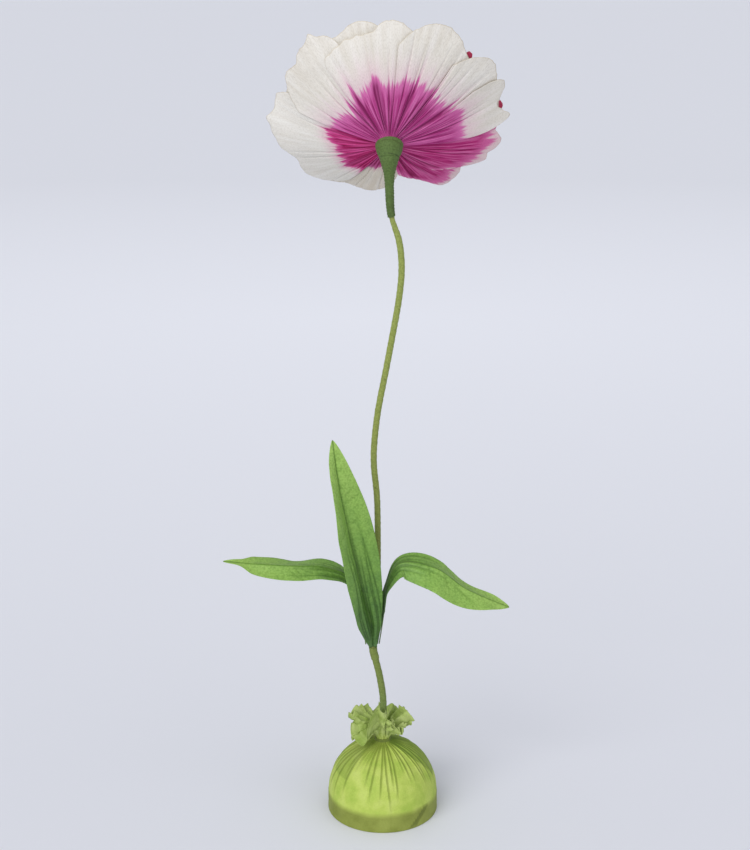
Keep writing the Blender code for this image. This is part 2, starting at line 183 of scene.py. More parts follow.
# ---------------------------------------------------------------- tissue round the base
# One sheet of green tissue is drawn up round the weight and the dome, gathered in tight
# tucks and tied at the rod; its loose corners stand out above the tie as a crumpled frill.
# It looks bright over the white foam and dull over the grey disc.
WRAP_RADIUS = 0.0852
WRAP_CORNER = 0.0016
DISC_TOP = 0.0277
DOME_ARC = 0.0846
NECK_HEIGHT = 0.1150
NECK_RADIUS = 0.0098
FRILL_LENGTH = 0.060
AROUND = 420
rng = np.random.default_rng(7)


def smooth_step(low, high, value):
    t = np.clip((value - low) / (high - low), 0.0, 1.0)
    return t * t * (3 - 2 * t)


def grid_mesh(name, points, attributes=None, closed=False):
    """A mesh of quads from rows x columns of points, with named values at its points."""
    rows, columns = points.shape[:2]
    index = np.arange(rows * columns).reshape(rows, columns)
    if closed:
        index = np.concatenate([index, index[:, :1]], axis=1)
    quads = np.stack([index[:-1, :-1], index[:-1, 1:], index[1:, 1:], index[1:, :-1]], axis=-1)
    mesh = bpy.data.meshes.new(name)
    mesh.from_pydata(points.reshape(-1, 3).tolist(), [], quads.reshape(-1, 4).tolist())
    for label, values in (attributes or {}).items():
        kind = "FLOAT" if values.ndim == 2 else "FLOAT_VECTOR"
        layer = mesh.attributes.new(label, kind, "POINT")
        layer.data.foreach_set("value" if kind == "FLOAT" else "vector",
                               values.astype(np.float32).ravel())
    mesh.shade_smooth()
    return mesh


def noise_at(points, size, seed):
    """Smooth noise of about -1 to 1 at an array of points, its lumps size metres across."""
    shift = Vector((seed * 7.3, seed * 3.1, seed * 5.7))
    flat = points.reshape(-1, points.shape[-1]) / size
    if flat.shape[1] == 2:
        flat = np.concatenate([flat, np.zeros((len(flat), 1))], axis=1)
    values = [noise.noise(Vector(p) + shift) for p in flat]
    return np.array(values).reshape(points.shape[:-1])


def thicken(obj, depth, offset=0.0):
    """Gives a sheet its thickness, and makes the result its mesh."""
    solid = obj.modifiers.new("thickness", "SOLIDIFY")
    solid.thickness = depth
    solid.offset = offset
    settle(obj)


def settle(obj):
    """Makes the evaluated shape the object's own mesh and removes its modifiers."""
    graph = bpy.context.evaluated_depsgraph_get()
    result = bpy.data.meshes.new_from_object(obj.evaluated_get(graph),
                                             preserve_all_data_layers=True, depsgraph=graph)
    obj.modifiers.clear()
    obj.data = result


around = np.linspace(0, 2 * math.pi, AROUND, endpoint=False)
dome_top = math.pi / 2 - math.asin((NECK_RADIUS + 0.004) / DOME_ARC)
profile = [(r, 0.0) for r in np.linspace(0.004, WRAP_RADIUS - WRAP_CORNER, 7)]
profile += [(WRAP_RADIUS - WRAP_CORNER * (1 - math.sin(a)), WRAP_CORNER * (1 - math.cos(a)))
            for a in np.linspace(0.4, math.pi / 2, 3)]
profile += [(WRAP_RADIUS, z) for z in np.linspace(WRAP_CORNER, DISC_TOP, 8)[1:]]
profile += [(DOME_ARC * math.cos(a), DISC_TOP + 0.0012 + DOME_ARC * math.sin(a))
            for a in np.linspace(math.radians(3), dome_top, 44)]
radius_now, height_now = profile[-1]
profile += [(radius_now + (NECK_RADIUS - radius_now) * t, height_now + (NECK_HEIGHT - height_now) * t)
            for t in (0.35, 0.7, 1.0)]
profile = np.array(profile)
radius, height = profile[:, :1] + 0 * around, profile[:, 1:] + 0 * around
up_dome = smooth_step(DISC_TOP, NECK_HEIGHT, height)
on_side = smooth_step(0.0005, 0.004, height)

# The tucks: narrow ridges that start at the tie and die out at different heights.
TUCKS = 46
tuck_angles = (np.arange(TUCKS) + rng.uniform(-0.36, 0.36, TUCKS)) * 2 * math.pi / TUCKS
tuck_feet = rng.uniform(0.0, 0.80, TUCKS) ** 1.3
tuck_feet[rng.integers(0, TUCKS, 6)] = -0.1
ridges = np.zeros_like(radius)
# layers marks one side of each tuck, and later the pinch: the colour is darkened there, partly for the
# folded-over paper and partly as painted shade under the fold.
layers = np.zeros_like(radius)
for angle, foot, lean in zip(tuck_angles, tuck_feet, rng.uniform(-0.10, 0.10, TUCKS)):
    away = (around - angle - lean * (1 - up_dome) + math.pi) % (2 * math.pi) - math.pi
    across = away * radius
    alive = smooth_step(foot, foot + 0.45, up_dome)
    width = 0.0011 + 0.0011 * (1 - up_dome)
    ridges = np.maximum(ridges, alive * np.exp(-(across / width) ** 2))
    layers = np.maximum(layers, alive * smooth_step(0.0, 0.0004, across + 0.0004)
                        * (1 - smooth_step(0.0022, 0.0040, across)))
slack = noise_at(np.stack([np.cos(around) * radius * 2.2, np.sin(around) * radius * 2.2,
                           height * 0.45], axis=-1), 0.030, 3)
crinkle = noise_at(np.stack([np.cos(around) * radius, np.sin(around) * radius, height], axis=-1),
                   0.009, 5)
push = on_side * (0.00115 * ridges * (0.35 + 0.65 * up_dome) + 0.00045 * slack + 0.0002 * crinkle)
push -= 0.0004 * on_side
# A loose pinch low on the front right, where the sheet folds under the disc.
pinch_line = np.radians(296) + (height / DISC_TOP) * 0.34
pinch = (around - pinch_line + math.pi) % (2 * math.pi) - math.pi
pinch_here = (1 - smooth_step(DISC_TOP, DISC_TOP + 0.004, height)) * on_side
push += 0.0012 * pinch_here * np.exp(-(pinch * WRAP_RADIUS / 0.0016) ** 2)
layers = np.maximum(layers, 0.9 * pinch_here * (pinch > 0) * (pinch < 0.16))
leaning = np.clip((height - DISC_TOP) / DOME_ARC, 0, 1)
radius = radius + push * np.sqrt(1 - leaning**2)
height = height + push * leaning
body = np.stack([np.cos(around) * radius, np.sin(around) * radius, height], axis=-1)

# The frill: every line of the sheet leaves the tie and arches over by its own amount,
# while the gathers swing from side to side until they lap over each other.
frill_rows = 40
lobes = [  # direction, width, arch in degrees, length share
    (150, 40, 66, 1.02), (190, 22, 82, 0.94), (224, 18, 126, 0.90), (258, 15, 4, 0.98),
    (278, 14, 0, 0.94), (304, 14, 36, 0.66), (334, 20, 76, 0.66), (8, 26, 56, 0.92),
    (50, 34, 66, 0.90), (100, 38, 78, 0.90),
]
arch = np.zeros(AROUND)
reach = np.zeros(AROUND)
weight = np.zeros(AROUND) + 1e-6
for direction, width, bend, share in lobes:
    away = (around - math.radians(direction) + math.pi) % (2 * math.pi) - math.pi
    near = np.exp(-(away / math.radians(width)) ** 2)
    arch += near * math.radians(bend)
    reach += near * share
    weight += near
arch, reach = arch / weight, reach / weight
phase = 14 * around + 1.8 * np.sin(2 * around + 1.0) + 1.5 * np.sin(3 * around + 2.2)
spot_r, spot_z = np.full(AROUND, NECK_RADIUS), np.full(AROUND, NECK_HEIGHT)
frill = []
for k in range(1, frill_rows + 1):
    t = k / frill_rows
    lean = 0.10 + (arch - 0.10) * smooth_step(0.02, 0.75, t) + 0.25 * t * np.sin(phase * 0.5 + 1)
    step = FRILL_LENGTH * reach / frill_rows
    spot_r, spot_z = spot_r + step * np.sin(lean), spot_z + step * np.cos(lean)
    swing = 0.0070 * t**0.8 * (1 + 0.3 * np.sin(5 * around))
    side = swing * 0.85 * np.sin(phase)
    out = swing * 0.75 * np.sin(2 * phase + 0.7)
    r = spot_r + out * np.cos(lean)
    z = spot_z - out * np.sin(lean)
    turn = around + side / np.maximum(spot_r, 0.010)
    edge = 1 + 0.06 * np.sin(7 * around + 1) * smooth_step(0.7, 1.0, t)
    frill.append(np.stack([np.cos(turn) * r * edge, np.sin(turn) * r * edge, z], axis=-1))
frill = np.array(frill)
share = np.linspace(0, 1, frill_rows)[:, None, None]
flat_place = np.stack([around * 0.032 + 0 * frill[..., 0],
                       FRILL_LENGTH * share[..., 0] + 0 * frill[..., 0]], axis=-1)
for size, depth, seed in ((0.011, 0.0030, 20), (0.0045, 0.0013, 30)):
    crumple = np.stack([noise_at(flat_place, size, seed + k) for k in range(3)], axis=-1)
    frill += depth * crumple * np.minimum(share * 3, 1)
lowest = DISC_TOP + 0.0018 + np.sqrt(np.maximum((DOME_ARC + 0.002) ** 2 - frill[..., 0] ** 2
                                                - frill[..., 1] ** 2, 0))
frill[..., 2] = np.maximum(frill[..., 2], lowest)
wrap_points = np.concatenate([body, frill])
azimuth = np.degrees(around)
azimuth = np.where(azimuth > 180, azimuth - 360, azimuth)
wander = 5 * noise_at(np.stack([body[..., 0], body[..., 2]], axis=-1), 0.030, 12)
doubled = smooth_step(-1.2, 1.2, azimuth + wander + 38 - 34 * (1 - up_dome) ** 0.8)
doubled *= (1 - smooth_step(60, 64, azimuth + wander)) * smooth_step(0.30, 0.36, up_dome)
second = smooth_step(-1.5, 1.5, azimuth + wander + 176) * (1 - smooth_step(-140, -137, azimuth - wander))
doubled = np.maximum(doubled, 0.55 * second * smooth_step(0.45, 0.5, up_dome))
over_disc = 1 - smooth_step(DISC_TOP - 0.0004, DISC_TOP + 0.0008,
                            height + 0.0002 * slack)
pad = np.zeros(frill.shape[:2])
wrap_mesh = grid_mesh("tissue_wrap", wrap_points, {
    "layers": np.concatenate([layers, pad]),
    "doubled": np.concatenate([doubled, pad]),
    "over_disc": np.concatenate([over_disc, pad]),
    "frill": np.concatenate([0 * layers, pad + np.linspace(0, 1, frill_rows)[:, None]]),
}, closed=True)

# Tissue is thin and a little waxy: light goes through it, and a second layer darkens it.
tissue, tree, shader = new_material("green tissue paper", roughness=0.62, specular=0.35)
where = add_node(tree, "ShaderNodeTexCoord", out="Object")
fibres = add_node(tree, "ShaderNodeTexNoise", {"Vector": where, "Scale": 900.0, "Detail": 3.0})
clouds = add_node(tree, "ShaderNodeTexNoise", {"Vector": where, "Scale": 38.0, "Detail": 3.0})
bright = ramp(tree, clouds, [(0.30, "#b4cf55"), (0.50, "#c9dc68"), (0.72, "#d7e57e")])
dull = ramp(tree, clouds, [(0.3, "#8b963f"), (0.7, "#a5b055")])
lap = ramp(tree, clouds, [(0.3, "#7c9a33"), (0.7, "#93ad45")])
loose = ramp(tree, clouds, [(0.3, "#a9c458"), (0.7, "#c6d488")])
masks = {label: add_node(tree, "ShaderNodeAttribute", out="Fac", attribute_name=label)
         for label in ("layers", "doubled", "over_disc", "frill")}
in_frill = add_node(tree, "ShaderNodeMapRange", {"Value": masks["frill"], "From Max": 0.35})
tint = add_node(tree, "ShaderNodeMix", {0: in_frill, 6: bright, 7: loose}, out=2, data_type="RGBA")
two = add_node(tree, "ShaderNodeMath", {0: masks["doubled"], 1: 0.75}, operation="MULTIPLY")
tint = add_node(tree, "ShaderNodeMix", {0: two, 6: tint, 7: lap}, out=2, data_type="RGBA")
tint = add_node(tree, "ShaderNodeMix", {0: masks["over_disc"], 6: tint, 7: dull}, out=2,
                data_type="RGBA")
# Partly painted shade: the tucks' folded sides are darkened for the extra layers and for the shade under
# each fold.
fold = add_node(tree, "ShaderNodeMath", {0: masks["layers"], 1: 0.62}, operation="MULTIPLY")
darker = add_node(tree, "ShaderNodeMix", {0: 1.0, 6: tint, 7: linear("#a8ad86")}, out=2,
                  data_type="RGBA", blend_type="MULTIPLY")
tint = add_node(tree, "ShaderNodeMix", {0: fold, 6: tint, 7: darker}, out=2, data_type="RGBA")
flecks = ramp(tree, fibres, [(0.3, "#e6e6dc"), (0.62, "#ffffff")])
tint = add_node(tree, "ShaderNodeMix", {0: 0.8, 6: tint, 7: flecks}, out=2, data_type="RGBA",
                blend_type="MULTIPLY")
tree.links.new(tint, shader.inputs["Base Color"])
crumple = add_node(tree, "ShaderNodeTexNoise", {"Vector": where, "Scale": 160.0, "Detail": 4.0})
bump = add_node(tree, "ShaderNodeBump", {"Height": crumple, "Strength": 0.35, "Distance": 0.0008})
tree.links.new(bump, shader.inputs["Normal"])
glow = add_node(tree, "ShaderNodeBsdfTranslucent", {"Color": tint, "Normal": bump})
both = add_node(tree, "ShaderNodeMixShader", {0: 0.22, 1: shader.outputs[0], 2: glow})
tree.links.new(both, tree.nodes["Material Output"].inputs["Surface"])

wrap = add_object(wrap_mesh, tissue)
thicken(wrap, 0.0003, offset=-1.0)
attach(wrap, "root")
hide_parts("base_wrap")

# ---------------------------------------------------------------- the tie
# Waxed thread, wound three times round the gathers and the rod and pulled tight.
THREAD = 0.0008
TIE_TURNS = 3
TREE_KINDS = {int: "NodeSocketInt", float: "NodeSocketFloat"}


def new_tree(name, inputs):
    """A Geometry Nodes tree with these named inputs; gives it and its input node's outputs."""
    made = bpy.data.node_groups.new(name, "GeometryNodeTree")
    made.interface.new_socket("Geometry", in_out="INPUT", socket_type="NodeSocketGeometry")
    made.interface.new_socket("Geometry", in_out="OUTPUT", socket_type="NodeSocketGeometry")
    for label, value in inputs.items():
        kind = TREE_KINDS.get(type(value), "NodeSocketMaterial")
        socket = made.interface.new_socket(label, in_out="INPUT", socket_type=kind)
        if value is not None:
            socket.default_value = value
    return made, made.nodes.new("NodeGroupInput").outputs


def end_tree(made, geometry, material):
    """Ends a tree in Realize Instances and Set Material."""
    whole = add_node(made, "GeometryNodeRealizeInstances", {0: geometry})
    painted = add_node(made, "GeometryNodeSetMaterial", {"Geometry": whole, "Material": material})
    made.links.new(painted, made.nodes.new("NodeGroupOutput").inputs[0])


def grow(obj, made, values, depth=0.0):
    """Runs a tree on an object with these input values, adds a thickness, and keeps the result."""
    modifier = obj.modifiers.new(made.name, "NODES")
    modifier.node_group = made
    for item in made.interface.items_tree:
        if item.in_out == "INPUT" and item.name in values:
            modifier[item.identifier] = values[item.name]
    if depth:
        solid = obj.modifiers.new("thickness", "SOLIDIFY")
        solid.thickness = depth
        solid.offset = 0.0
    settle(obj)
    obj.data.shade_smooth()
    return obj


def line_mesh(name, points, girth):
    """A line of points, each with the girth (radius) of what is wound round it."""
    mesh = bpy.data.meshes.new(name)
    mesh.from_pydata([tuple(p) for p in points], [(k, k + 1) for k in range(len(points) - 1)], [])
    layer = mesh.attributes.new("girth", "FLOAT", "POINT")
    layer.data.foreach_set("value", np.asarray(girth, dtype=np.float32))
    return mesh


# One tree for all that is wound round a core: a tube whose skin rises from one edge of each
# turn to the next, so every lap shows as a fine step. "along" and "turn" mark its surface.
winding, given = new_tree("wound_tape", {
    "Lap pitch": 0.01, "Lap step": 0.0003, "Sides": 20, "Spacing": 0.0012, "Crease": 0.0002,
    "Seed": 0, "Material": None})
path = add_node(winding, "GeometryNodeMeshToCurve", {"Mesh": given["Geometry"]})
path = add_node(winding, "GeometryNodeResampleCurve", {"Curve": path, "Length": given["Spacing"]},
                mode="LENGTH")
place = add_node(winding, "GeometryNodeSplineParameter", out="Length")
path = add_node(winding, "GeometryNodeStoreNamedAttribute",
                {"Geometry": path, "Name": "along", "Value": place}, domain="POINT")
ring = add_node(winding, "GeometryNodeCurvePrimitiveCircle",
                {"Resolution": given["Sides"], "Radius": 1.0}, mode="RADIUS")
share = add_node(winding, "GeometryNodeSplineParameter", out="Factor")
ring = add_node(winding, "GeometryNodeStoreNamedAttribute",
                {"Geometry": ring, "Name": "turn", "Value": share}, domain="POINT")
girth = add_node(winding, "GeometryNodeInputNamedAttribute", {"Name": "girth"}, data_type="FLOAT")
tube = add_node(winding, "GeometryNodeCurveToMesh",
                {"Curve": path, "Profile Curve": ring, "Scale": girth, "Fill Caps": True})
along = add_node(winding, "GeometryNodeInputNamedAttribute", {"Name": "along"}, data_type="FLOAT")
turn = add_node(winding, "GeometryNodeInputNamedAttribute", {"Name": "turn"}, data_type="FLOAT")
laps = add_node(winding, "ShaderNodeMath", {0: along, 1: given["Lap pitch"]}, operation="DIVIDE")
uneven = add_node(winding, "ShaderNodeTexNoise", {"W": laps, "Scale": 0.7, "Detail": 1.0},
                  noise_dimensions="1D")
laps = add_node(winding, "ShaderNodeMath", {0: uneven, 1: 0.9, 2: laps}, operation="MULTIPLY_ADD")
laps = add_node(winding, "ShaderNodeMath", {0: laps, 1: turn}, operation="ADD")
lap = add_node(winding, "ShaderNodeMath", {0: laps}, operation="FRACT")
tube = add_node(winding, "GeometryNodeStoreNamedAttribute",
                {"Geometry": tube, "Name": "lap", "Value": lap}, domain="POINT")
lift = add_node(winding, "ShaderNodeMath", {0: lap, 1: given["Lap step"]}, operation="MULTIPLY")
spot = add_node(winding, "GeometryNodeInputPosition")
seed = add_node(winding, "ShaderNodeMath", {0: given["Seed"], 1: 1.7}, operation="MULTIPLY")
dents = add_node(winding, "ShaderNodeTexNoise", {"Vector": spot, "W": seed, "Scale": 260.0,
                                                "Detail": 2.0}, noise_dimensions="4D")
dents = add_node(winding, "ShaderNodeMath", {0: dents, 1: 0.5}, operation="SUBTRACT")
lift = add_node(winding, "ShaderNodeMath", {0: dents, 1: given["Crease"], 2: lift},
                operation="MULTIPLY_ADD")
facing = add_node(winding, "GeometryNodeInputNormal")
lift = add_node(winding, "ShaderNodeVectorMath", {0: facing, "Scale": lift}, operation="SCALE")
tube = add_node(winding, "GeometryNodeSetPosition", {"Geometry": tube, "Offset": lift})
end_tree(winding, tube, given["Material"])

thread, tree, shader = new_material("waxed cotton thread", roughness=0.6, specular=0.4)
# Painted shade: each strand of the thread is lighter along its middle and darker at its edges, the shade
# in the grooves between strands.
strand = add_node(tree, "ShaderNodeAttribute", out="Fac", attribute_name="lap")
tree.links.new(ramp(tree, strand, [(0.0, "#4c5a1e"), (0.5, "#7d8b3a"), (1.0, "#5a6826")]),
               shader.inputs["Base Color"])
turns = np.linspace(0, 2 * math.pi * TIE_TURNS, 48 * TIE_TURNS)
loops = [(0.0112 * math.cos(a), 0.0112 * math.sin(a), 0.1156 + 0.00165 * a / (2 * math.pi)
          - 0.0016) for a in turns]
tie = add_object(line_mesh("neck_tie_thread", loops, np.full(len(loops), THREAD)), None)
grow(tie, winding, {"Lap pitch": 0.0022, "Lap step": 0.0002, "Sides": 8, "Spacing": 0.0008,
                    "Crease": 0.0, "Material": thread})
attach(tie, "root")
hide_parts("neck_tie")


# ---------------------------------------------------------------- rod and taped stem
# A straight-drawn steel rod, bent by hand, is wound with stretchy waxed crepe tape from the
# base to the flower. The tape is olive, yellower above and greyer green near the base.
HEAD_TILT = math.radians(51)
NECK_BEND = 0.032
NECK_TOP = Vector((0.0078, 0.0, 1.003))
FACE = Vector((0.0, math.sin(HEAD_TILT), math.cos(HEAD_TILT)))
ACROSS = Vector((1.0, 0.0, 0.0))
RISE = Vector((0.0, -math.cos(HEAD_TILT), math.sin(HEAD_TILT)))
STEM_LINE = [
    (0.0000, 0.006), (0.0000, 0.040), (0.0000, 0.078), (0.0000, 0.1115),
    (0.0008, 0.140), (0.0003, 0.185), (-0.0050, 0.222), (-0.0115, 0.251),
    (-0.0150, 0.270), (-0.0128, 0.310), (-0.0085, 0.380), (-0.0078, 0.440),
    (-0.0090, 0.510), (-0.0139, 0.572), (-0.0085, 0.638), (0.0039, 0.706),
    (0.0145, 0.765), (0.0222, 0.811), (0.0258, 0.854), (0.0222, 0.893),
    (0.0112, 0.929), (0.0085, 0.962),
]


def on_bend(angle):
    """A point of the rod's bend below the head."""
    return NECK_TOP + NECK_BEND * Vector((0, 1 - math.cos(angle), math.sin(angle)))


def spline(points, steps):
    """Catmull-Rom curve through the points, with that many steps a span."""
    points = [Vector(p) for p in points]
    ends = [2 * points[0] - points[1]] + points + [2 * points[-1] - points[-2]]
    line = []
    for a, b, c, d in zip(ends, ends[1:], ends[2:], ends[3:]):
        for k in range(steps):
            t = k / steps
            line.append(0.5 * (2 * b + (c - a) * t + (2 * a - 5 * b + 4 * c - d) * t**2
                               + (3 * b - a - 3 * c + d) * t**3))
    return line + [points[-1]]


MOUTH = on_bend(HEAD_TILT)
stem_line = spline([(x, 0, z) for x, z in STEM_LINE]
                   + [on_bend(HEAD_TILT * share) for share in (0.0, 0.32, 0.64, 0.93)]
                   + [MOUTH + FACE * 0.010], 12)


def stem_radius(z):
    radius = 0.0052 - 0.0006 * smooth_step(0.25, 0.40, z)
    return radius + (0.0037 - radius) * smooth_step(0.895, 0.925, z)


def wound_tape(name, stops, lap_shade, roughness):
    """Waxed crepe tape: streaks along the tape, fine cross wrinkles with painted shade in their dips, and
    a line of painted shade at the foot of each lap.
    """
    made, tree, shader = new_material(name, roughness=roughness, specular=0.4)
    where = add_node(tree, "ShaderNodeTexCoord", out="Object")
    height = add_node(tree, "ShaderNodeSeparateXYZ", {0: where}, out="Z")
    along = add_node(tree, "ShaderNodeMapRange", {"Value": height, "From Max": 1.05})
    patches = add_node(tree, "ShaderNodeTexNoise", {"Vector": where, "Scale": 75.0, "Detail": 4.0})
    mottle = add_node(tree, "ShaderNodeMath", {0: patches, 1: 0.16, 2: along},
                      operation="MULTIPLY_ADD")
    tint = ramp(tree, mottle, stops)
    lap = add_node(tree, "ShaderNodeAttribute", out="Fac", attribute_name="lap")
    # Painted shade: a darker line at the foot of each lap, under the edge of the turn that overlaps it.
    edge = ramp(tree, lap, [(0.0, lap_shade), (0.14, "#ffffff"), (0.86, "#ffffff"), (1.0, "#e9ebda")])
    tint = add_node(tree, "ShaderNodeMix", {0: 0.9, 6: tint, 7: edge}, out=2, data_type="RGBA",
                    blend_type="MULTIPLY")
    fine = add_node(tree, "ShaderNodeTexNoise", {"Vector": where, "Scale": 420.0, "Detail": 3.0})
    # Painted shade: the colour darkens where the fine wrinkle bump dips.
    wrinkle_dip_shade = ramp(tree, fine, [(0.32, "#c9cbb4"), (0.6, "#ffffff")])
    tint = add_node(tree, "ShaderNodeMix", {0: 0.75, 6: tint, 7: wrinkle_dip_shade}, out=2, data_type="RGBA",
                    blend_type="MULTIPLY")
    tree.links.new(tint, shader.inputs["Base Color"])
    bump = add_node(tree, "ShaderNodeBump", {"Height": fine, "Strength": 0.5, "Distance": 0.0005})
    tree.links.new(bump, shader.inputs["Normal"])
    return made


# The last colour is the painted shade at the foot of each lap.
stem_tape = wound_tape("olive crepe stem tape", [
    (0.10, "#6f8a55"), (0.28, "#73833d"), (0.50, "#7f8a40"), (0.75, "#8f9a4b"), (1.0, "#939f52")],
    "#8b8d6a", 0.62)
steel, tree, shader = new_material("galvanised steel rod", roughness=0.4)
shader.inputs["Metallic"].default_value = 1.0
where = add_node(tree, "ShaderNodeTexCoord", out="Object")
drawn = add_node(tree, "ShaderNodeTexNoise", {"Vector": where, "Scale": 300.0, "Detail": 3.0})
tree.links.new(ramp(tree, drawn, [(0.3, "#8d8f92"), (0.7, "#b4b6b9")]), shader.inputs["Base Color"])
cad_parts["stem_rod"].material_slots[0].material = steel

kept = [p for p in stem_line if 0.112 < p.z < 0.985]
stem = add_object(line_mesh("stem_taped", kept, [stem_radius(p.z) - 0.0002 for p in kept]), None)
grow(stem, winding, {"Lap pitch": 0.0105, "Lap step": 0.00038, "Sides": 22, "Spacing": 0.0013,
                     "Crease": 0.0007, "Seed": 2, "Material": stem_tape})
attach(stem, "root")
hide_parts("stem_wrap")


# ---------------------------------------------------------------- leaves
# Each leaf is two layers of green waxed paper glued over a wire, pinched into a fold along
# the wire and crumpled a little at its root, where it clasps the stem under a turn of tape.
LEAF_THICKNESS = 0.0005
LEAVES = {
    "leaf_centre": dict(
        rib=[(-0.0150, -0.0085, 0.2750), (-0.0170, -0.0190, 0.3120),
             (-0.0270, -0.0290, 0.3600), (-0.0440, -0.0400, 0.4400),
             (-0.0550, -0.0440, 0.4950), (-0.0650, -0.0460, 0.5500),
             (-0.0730, -0.0460, 0.6140)],
        facing=[(0.1, -1, 0), (0.35, -1, 0.1), (0.35, -1, 0.2), (0.2, -1, 0.2)],
        stalk=0.0, half=(0.0350, 0.0375), fold=(66, 6), swell=(0.80, 1.10), nip=0.0,
        clasp=0.0062, seed=1),
    "leaf_left": dict(
        rib=[(-0.0240, -0.0010, 0.2750), (-0.0300, 0.0030, 0.3200),
             (-0.0480, 0.0040, 0.3800), (-0.0850, 0.0000, 0.4010),
             (-0.1300, -0.0020, 0.4030), (-0.1850, -0.0030, 0.4060),
             (-0.2390, -0.0030, 0.4110)],
        facing=[(1, -0.2, 0.3), (0.8, -0.4, 0.8), (0.0, -0.25, 1.0), (0.1, -0.6, 0.8)],
        stalk=0.26, half=(0.0250, 0.0270), fold=(-34, -30), swell=(1.0, 0.95), nip=0.45,
        clasp=0.0070, seed=2),
    "leaf_right": dict(
        rib=[(-0.0075, 0.0010, 0.2750), (-0.0010, 0.0020, 0.3200),
             (0.0045, 0.0020, 0.3700), (0.0260, 0.0000, 0.4080),
             (0.0800, -0.0060, 0.4010), (0.1250, -0.0090, 0.3690),
             (0.1900, -0.0080, 0.3390)],
        facing=[(-1, -0.3, 0.2), (-0.7, -0.6, 0.4), (0.2, -0.50, 0.9), (0.5, -0.5, 0.8)],
        stalk=0.22, half=(0.0270, 0.0370), fold=(-44, -16), swell=(1.2, 1.2), nip=0.0,
        clasp=0.0100, seed=3),
}
LEAF_ROWS, LEAF_HALF = 150, 22


def at_fraction(line, t):
    """The point a fraction t along an evenly counted line, and its direction."""
    place = min(max(t, 0.0), 1.0) * (len(line) - 1)
    k = min(int(place), len(line) - 2)
    return line[k].lerp(line[k + 1], place - k), (line[k + 1] - line[k]).normalized()


def even_line(line, count):
    """The same line with count points at equal distances."""
    walked = np.cumsum([0.0] + [(b - a).length for a, b in zip(line, line[1:])])
    wanted = np.linspace(0, walked[-1], count)
    axes = [np.interp(wanted, walked, [p[i] for p in line]) for i in range(3)]
    return [Vector(p) for p in zip(*axes)]


leaf_paper, tree, shader = new_material("green waxed leaf paper", roughness=0.48, specular=0.45)
where = add_node(tree, "ShaderNodeTexCoord", out="Object")
place = add_node(tree, "ShaderNodeAttribute", out="Fac", attribute_name="along_leaf")
patches = add_node(tree, "ShaderNodeTexNoise", {"Vector": where, "Scale": 60.0, "Detail": 6.0,
                                                "Roughness": 0.65})
mottle = add_node(tree, "ShaderNodeMath", {0: patches, 1: 0.5}, operation="SUBTRACT")
mottle = add_node(tree, "ShaderNodeMath", {0: mottle, 1: 0.55, 2: place}, operation="MULTIPLY_ADD")
tint = ramp(tree, mottle, [(0.02, "#4f7738"), (0.25, "#65913f"), (0.50, "#82ad4c"),
                           (0.75, "#96be58"), (1.0, "#a5c964")])
pulp = add_node(tree, "ShaderNodeTexNoise", {"Vector": where, "Scale": 340.0, "Detail": 4.0})
speck = ramp(tree, pulp, [(0.30, "#c8d0b4"), (0.60, "#ffffff")])
tint = add_node(tree, "ShaderNodeMix", {0: 0.8, 6: tint, 7: speck}, out=2, data_type="RGBA",
                blend_type="MULTIPLY")
# Painted shade: the creases and the midrib fold are darkened along their valleys.
crease = add_node(tree, "ShaderNodeAttribute", out="Fac", attribute_name="crease")
crease_shade = ramp(tree, crease, [(0.0, "#ffffff"), (0.55, "#b9c79a"), (1.0, "#7f9660")])
tint = add_node(tree, "ShaderNodeMix", {0: 0.9, 6: tint, 7: crease_shade}, out=2, data_type="RGBA",
                blend_type="MULTIPLY")
tree.links.new(tint, shader.inputs["Base Color"])
wrinkle = add_node(tree, "ShaderNodeTexNoise", {"Vector": where, "Scale": 130.0, "Detail": 5.0,
                                                "Distortion": 0.6})
bump = add_node(tree, "ShaderNodeBump", {"Height": wrinkle, "Strength": 0.5, "Distance": 0.0011})
tree.links.new(bump, shader.inputs["Normal"])
glow = add_node(tree, "ShaderNodeBsdfTranslucent", {"Color": tint, "Normal": bump})
both = add_node(tree, "ShaderNodeMixShader", {0: 0.12, 1: shader.outputs[0], 2: glow})
tree.links.new(both, tree.nodes["Material Output"].inputs["Surface"])
# The last colour is the painted shade at the foot of each lap.
leaf_wire = wound_tape("paper covered wire", [(0.2, "#5c7a35"), (0.6, "#6d8a3c")], "#8b8d6a", 0.7)

